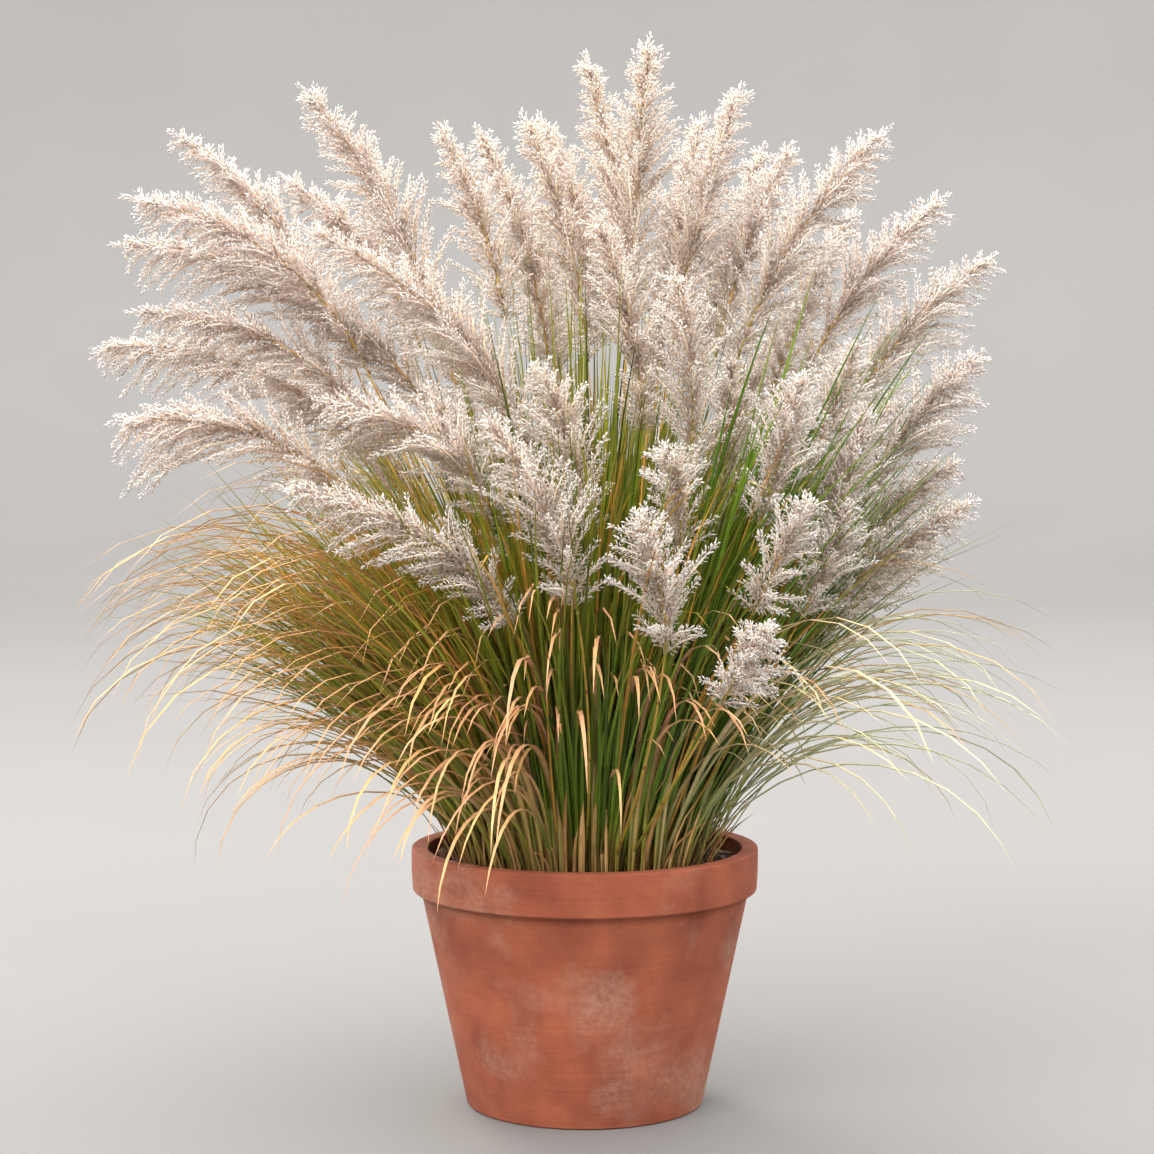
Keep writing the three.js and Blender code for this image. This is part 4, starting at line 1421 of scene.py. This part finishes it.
@dataclass
class StrawLeaves:
    """The dry and half-dry leaves that rise from the clump's edge, arch over and hang.

    The longest crowd to the left. Those in front are broad and bend over late.
    """

    stubble: int = 190
    stubble_ring: tuple[float, float] = (0.125, 0.168)
    stubble_length: tuple[float, float] = (0.05, 0.16)
    stubble_width: tuple[float, float] = (0.003, 0.007)
    left: Sheaf = Sheaf(
        count=170, facing=178, spread=50, ring=(0.12, 0.16), length=(0.52, 0.82), lean=(3, 26),
        bend=(112, 150), curl=(1.6, 2.6), width=(0.0045, 0.0082), reach=0.63,
    )
    front_left: Sheaf = Sheaf(
        count=90, facing=215, spread=42, ring=(0.13, 0.166), length=(0.34, 0.6), lean=(5, 30),
        bend=(110, 160), curl=(1.2, 2.1), width=(0.005, 0.009), reach=0.48,
    )
    front: Sheaf = Sheaf(
        count=110, facing=276, spread=52, ring=(0.08, 0.166), length=(0.28, 0.62), lean=(0, 18),
        bend=(115, 165), curl=(1.7, 3.2), width=(0.006, 0.0105), reach=0.4,
    )
    right: Sheaf = Sheaf(
        count=66, facing=-8, spread=46, ring=(0.12, 0.166), length=(0.42, 0.72), lean=(8, 34),
        bend=(95, 145), curl=(1.2, 2.1), width=(0.006, 0.01), reach=0.6,
    )
    rear: Sheaf = Sheaf(
        count=90, facing=90, spread=50, ring=(0.13, 0.166), length=(0.38, 0.64), lean=(8, 32),
        bend=(100, 145), curl=(1.1, 1.9), width=(0.005, 0.0085), reach=0.55,
    )

    @staticmethod
    def colours(growth: Growth, draw: np.random.Generator) -> tuple[np.ndarray, np.ndarray]:
        """Choose each leaf's colour low down and over its arch.

        Args:
            growth: Where the leaves stand.
            draw: The random draw.

        Returns:
            The colours low down, and those over the arch.
        """
        count = len(growth.azimuth)
        left = np.clip(-np.cos(growth.azimuth), 0, 1)
        right = np.clip(np.cos(growth.azimuth), 0, 1)
        front = np.clip(-np.sin(growth.azimuth), 0, 1)
        arch = LeafTone.STRAW.to(LeafTone.GOLD, draw.random(count) * (0.4 + 0.6 * left))
        rose, pale = LeafTone.ROSE_STRAW.colour(), LeafTone.PALE.colour()
        arch = blend_colours(arch, rose, front * draw.uniform(0.4, 1.2, count))
        arch = blend_colours(arch, pale, right**2 * (draw.random(count) < 0.75))
        low = LeafTone.GREEN.to(LeafTone.LIME, draw.random(count) * mix(0.5, 1, left))
        low = blend_colours(low, arch, 0.5 * draw.random(count))
        return low, arch * draw.uniform(0.8, 1.06, count)[:, None]

    def sheaths(self, draw: np.random.Generator) -> Shape:
        """Model the short old sheaths at the clump's foot.

        Args:
            draw: The random draw.

        Returns:
            All the sheaths.
        """
        count = self.stubble
        old = Growth(
            draw.uniform(0, 2 * math.pi, count),
            draw.uniform(*self.stubble_ring, count),
            np.radians(draw.uniform(-4, 26, count)),
            np.radians(draw.uniform(0, 60, count)),
            draw.uniform(1, 2, count),
            draw.uniform(-0.4, 0.4, count),
            draw.uniform(*self.stubble_length, count),
        )
        brown = LeafTone.TAN.to(LeafTone.STRAW, draw.random(count) * 0.7)
        sheath = Leaves(steps=4, sheath=0.7, tip=0.2, thickness=0.001)
        return sheath.shape(draw, old, self.stubble_width, 1, brown, brown, (0.3, 1))

    def build(self, leaf: bpy.types.Material) -> None:
        """Build the arching leaves and the old sheaths at their foot as one piece.

        Args:
            leaf: Its finish.
        """
        draw = np.random.default_rng(83)
        leaves = Leaves(steps=12, sheath=0.36, tip=0.1, thickness=0.0018, groove=-0.5)
        shapes = [self.sheaths(draw)]
        for sheaf in (self.left, self.front_left, self.front, self.right, self.rear):
            growth, twist = sheaf.growth(draw), sheaf.most_twist
            low, arch = self.colours(growth, draw)
            shapes.append(leaves.shape(draw, growth, sheaf.width, twist, low, arch, (0.2, 0.55)))
        shape = Shape.joined(shapes)
        Piece.make("arching_straw", shape, leaf, "straw_leaf", ("straw_leaves",), smooth=True)


@dataclass
class Culms:
    """The golden stems that carry the panicles, with slightly thicker joints."""

    radius: float = 0.0019
    joint_radius: float = 0.0026
    joint_length: float = 0.007
    joints: tuple[float, ...] = (0.22, 0.48, 0.76)

    def build(self, curves: list[Bend], leaf: bpy.types.Material) -> None:
        """Build all the culms as one piece.

        Args:
            curves: Each culm's curve.
            leaf: Its finish.
        """
        stalk, knot = Master.stalk(6, 12, 0.7), Master.lofted(6, (0.7, 1.0, 0.75))
        every, count = Bend.joined(curves), len(curves)
        draw = np.random.default_rng(97)
        width, wide = np.full(count, 2 * self.radius), np.full(count, 2 * self.joint_radius)
        points, triangles, share = stalk.along(every.paths(12), width, width / 2)
        low = stalk.each(LeafTone.BRIGHT.to(LeafTone.GOLD, draw.random(count))) * 0.8
        colours = blend_colours(low, LeafTone.CULM.colour(), np.clip(share * 1.3, 0, 1))
        shapes = [Shape(points, triangles, colours)]
        half = self.joint_length / 2 / np.linalg.norm(every.end - every.start, axis=1)
        for joint in self.joints:
            at = np.clip(joint + draw.uniform(-0.06, 0.06, count), 0.1, 0.9)
            stretch = np.stack([every.at(at - half), every.at(at), every.at(at + half)], axis=1)
            points, triangles, _ = knot.along(stretch, wide, wide / 2)
            brown = np.broadcast_to(LeafTone.JOINT.colour(), (len(points), 3))
            shapes.append(Shape(points, triangles, brown))
        shape = Shape.joined(shapes)
        Piece.make("culms", shape, leaf, "green_leaf", ("leafy_clump",), smooth=True)


@dataclass
class Ground:
    """Soil in the pot, mounded a little under the clump, with bark mulch lying on it."""

    inner: float = 0.1988
    base_radius: float = 0.1412
    mound: float = 0.01
    sink: float = 0.004
    crumbs: tuple[float, float] = (-0.003, 0.0035)
    rings: tuple[float, ...] = (0.97, 0.965, 0.96, 0.95, 0.95, 0.94, 0.93, 0.9, 0.85, 0.8, 0.7, 0.5)
    chips: int = 480
    chip_length: tuple[float, float] = (0.008, 0.024)
    chip_thickness: tuple[float, float] = (0.0015, 0.0035)
    chip_lift: tuple[float, float] = (-0.003, 0.007)
    clear_radius: float = 0.12
    wall_gap: float = 0.008

    def bed(self, mulch: bpy.types.Material) -> None:
        """Build the soil's body, its top drawn in ring by ring and rough with crumbs.

        Args:
            mulch: Its finish.
        """
        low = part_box("soil")[0].z
        top = SOIL_LEVEL - self.sink - low
        bench = Workbench.turned([(self.base_radius, 0.0), (self.inner, top)], low)
        for share in self.rings:
            bpy.ops.mesh.extrude_region_move()
            bpy.ops.transform.resize(value=(share, share, 1), center_override=(0, 0, 0))
        points, triangles = Workbench.take(bench)
        draw = np.random.default_rng(5)
        upper = points[:, 2] > SOIL_LEVEL - 2 * self.sink
        radius = np.hypot(points[:, 0], points[:, 1])
        points[:, 2] += upper * self.mound * np.clip(1 - (radius / CROWN_RADIUS) ** 2, 0, 1)
        points[upper, 2] += draw.uniform(*self.crumbs, upper.sum())
        colours = linear(60, 45, 38) * draw.uniform(0.6, 1.3, len(points))[:, None]
        Piece.make("soil_bed", Shape(points, triangles, colours), mulch, "soil_mulch", ("soil",))

    def mulch(self, chip: Master, finish: bpy.types.Material) -> None:
        """Scatter bark flakes over the soil round the clump.

        Args:
            chip: The flake's shape.
            finish: Its finish.
        """
        draw = np.random.default_rng(6)
        limits = (self.clear_radius**2, (self.inner - self.wall_gap) ** 2)
        radius = np.sqrt(draw.uniform(*limits, self.chips))
        turn = draw.uniform(0, 2 * math.pi, self.chips)
        lift = draw.uniform(*self.chip_lift, self.chips)
        root = polar(radius, turn, SOIL_LEVEL - 0.002 + lift)
        long = draw.uniform(*self.chip_length, self.chips)
        along = unit(draw.normal(0, 1, (self.chips, 3)) * (1, 1, 0.25))
        side, up = crossways(along)
        wide = long * draw.uniform(0.3, 0.6, self.chips)
        thick = draw.uniform(*self.chip_thickness, self.chips)
        frames = [side * wide[:, None], up * thick[:, None], along * long[:, None]]
        points, triangles = chip.placed(root, np.stack(frames, axis=1))
        share = draw.random(self.chips) ** 1.6
        colours = chip.each(blend_colours(linear(52, 38, 32), linear(112, 82, 62), share))
        shape = Shape(points, triangles, colours)
        Piece.make("mulch_flakes", shape, finish, "soil_mulch", ("soil",))


@dataclass
class Pot:
    """A plain clay pot with a thick rim band, turned from one outline."""

    height: float = 0.33
    base_radius: float = 0.152
    rim_radius: float = 0.222
    rim_height: float = 0.056
    wall: float = 0.01
    lip: float = 0.012
    floor: float = 0.015
    drains: int = 4
    drain_radius: float = 0.008
    drain_circle: float = 0.084
    rounding: float = 0.0028

    def outline(self) -> list[tuple[float, float]]:
        """Return the pot's outline as radius and height, from the base up, over and in."""
        under = self.height - self.rim_height
        neck = self.rim_radius - self.lip
        return [
            (self.base_radius, 0.0),
            (mix(self.base_radius, neck, 0.5), under * 0.5),
            (neck, under),
            (self.rim_radius - 0.0015, under + 0.002),
            (self.rim_radius, under + self.rim_height * 0.5),
            (self.rim_radius, self.height),
            (neck - self.wall + 0.001, self.height),
            (neck - self.wall, under),
            (self.base_radius - self.wall, self.floor),
        ]

    def build(self, clay: bpy.types.Material) -> None:
        """Build the pot: extrude its outline ring by ring, bore the drains and round the edges.

        Args:
            clay: Its finish.
        """
        pot = Workbench.turned(self.outline())
        bpy.ops.mesh.select_all(action="SELECT")
        bpy.ops.mesh.normals_make_consistent(inside=False)
        bpy.ops.object.mode_set(mode="OBJECT")
        pot.name = pot.data.name = "clay_pot"
        self.bore(pot)
        rounding = pot.modifiers.new("rounding", "BEVEL")
        rounding.width = self.rounding
        rounding.segments = 4
        rounding.limit_method = "ANGLE"
        rounding.angle_limit = math.radians(28)
        rounding.harden_normals = False
        bpy.context.view_layer.objects.active = pot
        pot.select_set(True)
        bpy.ops.object.modifier_apply(modifier="rounding")
        bpy.ops.object.shade_smooth_by_angle(angle=math.radians(40))
        Piece.tie(pot, clay, "pot_clay", ("pot",))
        LOG.info("clay_pot: %d faces", len(pot.data.polygons))

    def bore(self, pot: bpy.types.Object) -> None:
        """Cut the drain holes through the pot's floor.

        Args:
            pot: The pot.
        """
        for index in range(self.drains):
            turn = (index + 0.5) / self.drains * 2 * math.pi
            across, depth = self.drain_circle * math.cos(turn), self.drain_circle * math.sin(turn)
            place = (across, depth, self.floor / 2)
            bpy.ops.object.select_all(action="DESELECT")
            bpy.ops.mesh.primitive_cylinder_add(
                vertices=24, radius=self.drain_radius, depth=self.floor * 3, location=place
            )
            drill = bpy.context.object
            cut = pot.modifiers.new("drain", "BOOLEAN")
            cut.operation = "DIFFERENCE"
            cut.object = drill
            bpy.context.view_layer.objects.active = pot
            bpy.ops.object.modifier_apply(modifier="drain")
            bpy.data.objects.remove(drill)


@dataclass(frozen=True)
class Lamp:
    """A far lamp: where it stands, its strength, its breadth in degrees and its colour."""

    name: str
    place: tuple[float, float, float]
    strength: float
    breadth: float
    colour: tuple[float, float, float]


@dataclass
class Studio:
    """A pale floor that curves up into a wall all round, soft light and the camera."""

    span: float = 1.47
    sensor: float = 36
    eye: tuple[float, float, float] = (-0.01, -EYE_DISTANCE, SOIL_LEVEL + EYE_HEIGHT)
    aim: tuple[float, float, float] = (-0.01, 0.0, 0.675)
    lit: tuple[float, float, float] = (0, 0, 0.75)
    air: tuple[float, float, float, float] = (1.0, 0.985, 0.97, 1)
    air_strength: float = 3.7
    below: float = 0.0006
    sweep: tuple[tuple[float, float], ...] = (
        (9.0, 0.0), (10.2, 0.08), (11.3, 0.34), (12.3, 0.85),
        (13.1, 1.7), (13.7, 2.9), (14.0, 4.4), (14.1, 7.0),
    )
    lamps: tuple[Lamp, ...] = (
        Lamp("key", (-2.6, -3.4, 3.6), 2.4, 34, (1.0, 0.98, 0.95)),
        Lamp("back", (-1.6, 3.0, 3.0), 1.9, 24, (1.0, 0.94, 0.86)),
        Lamp("fill", (2.4, -4.0, 1.6), 1.6, 60, (1.0, 0.98, 0.97)),
    )

    def floor(self) -> None:
        """Draw the floor up into its wall, with a faint unevenness in its tone."""
        sweep = Workbench.turned(self.sweep, -self.below)
        bpy.ops.mesh.delete(type="ONLY_FACE")
        bpy.ops.object.mode_set(mode="OBJECT")
        sweep.name = "studio_floor"
        bpy.ops.object.shade_smooth()
        graph = Graph("pale_floor", 0.75)
        tone = graph.mixed(paint(108, 107, 106), paint(113, 112, 111), graph.noise(1.2, 2))
        sweep.data.materials.append(graph.finish(tone))

    def lights(self) -> None:
        """Light the plant with broad, far lamps that leave the floor evenly lit."""
        world = bpy.data.worlds.new("studio_air")
        world.use_nodes = True
        world.node_tree.nodes["Background"].inputs["Color"].default_value = self.air
        world.node_tree.nodes["Background"].inputs["Strength"].default_value = self.air_strength
        bpy.context.scene.world = world
        bpy.context.scene.view_settings.view_transform = "Standard"
        for lamp in self.lamps:
            sun = bpy.data.lights.new(lamp.name, "SUN")
            sun.energy = lamp.strength
            sun.angle = math.radians(lamp.breadth)
            sun.color = lamp.colour
            self.stand(lamp.name, sun, lamp.place, self.lit)

    def camera(self) -> None:
        """Place the camera at the photograph's angle, far enough to take in the pot."""
        lens = bpy.data.cameras.new("view")
        lens.sensor_width = self.sensor
        lens.lens = self.sensor * EYE_DISTANCE / self.span
        bpy.context.scene.camera = self.stand("view", lens, self.eye, self.aim)

    @staticmethod
    def stand(name: str, data: bpy.types.ID, place: tuple, target: tuple) -> bpy.types.Object:
        """Stand a lamp or camera at a place, facing a target.

        Args:
            name: Its name.
            data: The lamp or camera.
            place: Where it stands.
            target: What it faces.

        Returns:
            The object that holds it.
        """
        holder = bpy.data.objects.new(name, data)
        bpy.context.collection.objects.link(holder)
        holder.location = place
        holder.rotation_euler = (Vector(target) - Vector(place)).to_track_quat("-Z", "Y").to_euler()
        return holder


def build_plant() -> None:
    """Build the panicles, culms, blades and leaves."""
    layout = Layout()
    silk = PlumeFinish().material()
    green = LeafFinish("green_leaf_skin", 0.42).material()
    straw = LeafFinish("straw_leaf_skin", 0.5).material()
    spikelet, down = Master.spikelet(), Master.lofted(3, (0.6, 1.0))
    rachis = Master.stalk(5, 12, 0.3)
    culms, triangles = [], 0
    for index, plume in enumerate(PLUMES):
        culm, axis = layout.curves(plume)
        culms.append(culm)
        triangles += Panicle(plume, axis, seed=201 + index).build(spikelet, down, rachis, silk)
    LOG.info("plumes: %d triangles", triangles)
    Culms().build(culms, green)
    GreenBlades().build(green)
    StrawLeaves().build(straw)


def main() -> None:
    """Build everything."""
    logging.basicConfig(level=logging.INFO, format="%(name)s %(message)s")
    studio = Studio()
    studio.camera()
    studio.floor()
    studio.lights()
    mulch = MulchFinish().material()
    ground = Ground()
    ground.bed(mulch)
    ground.mulch(Master.chip(), mulch)
    Pot().build(ClayFinish().material())
    build_plant()


if __name__ == "__main__":
    main()
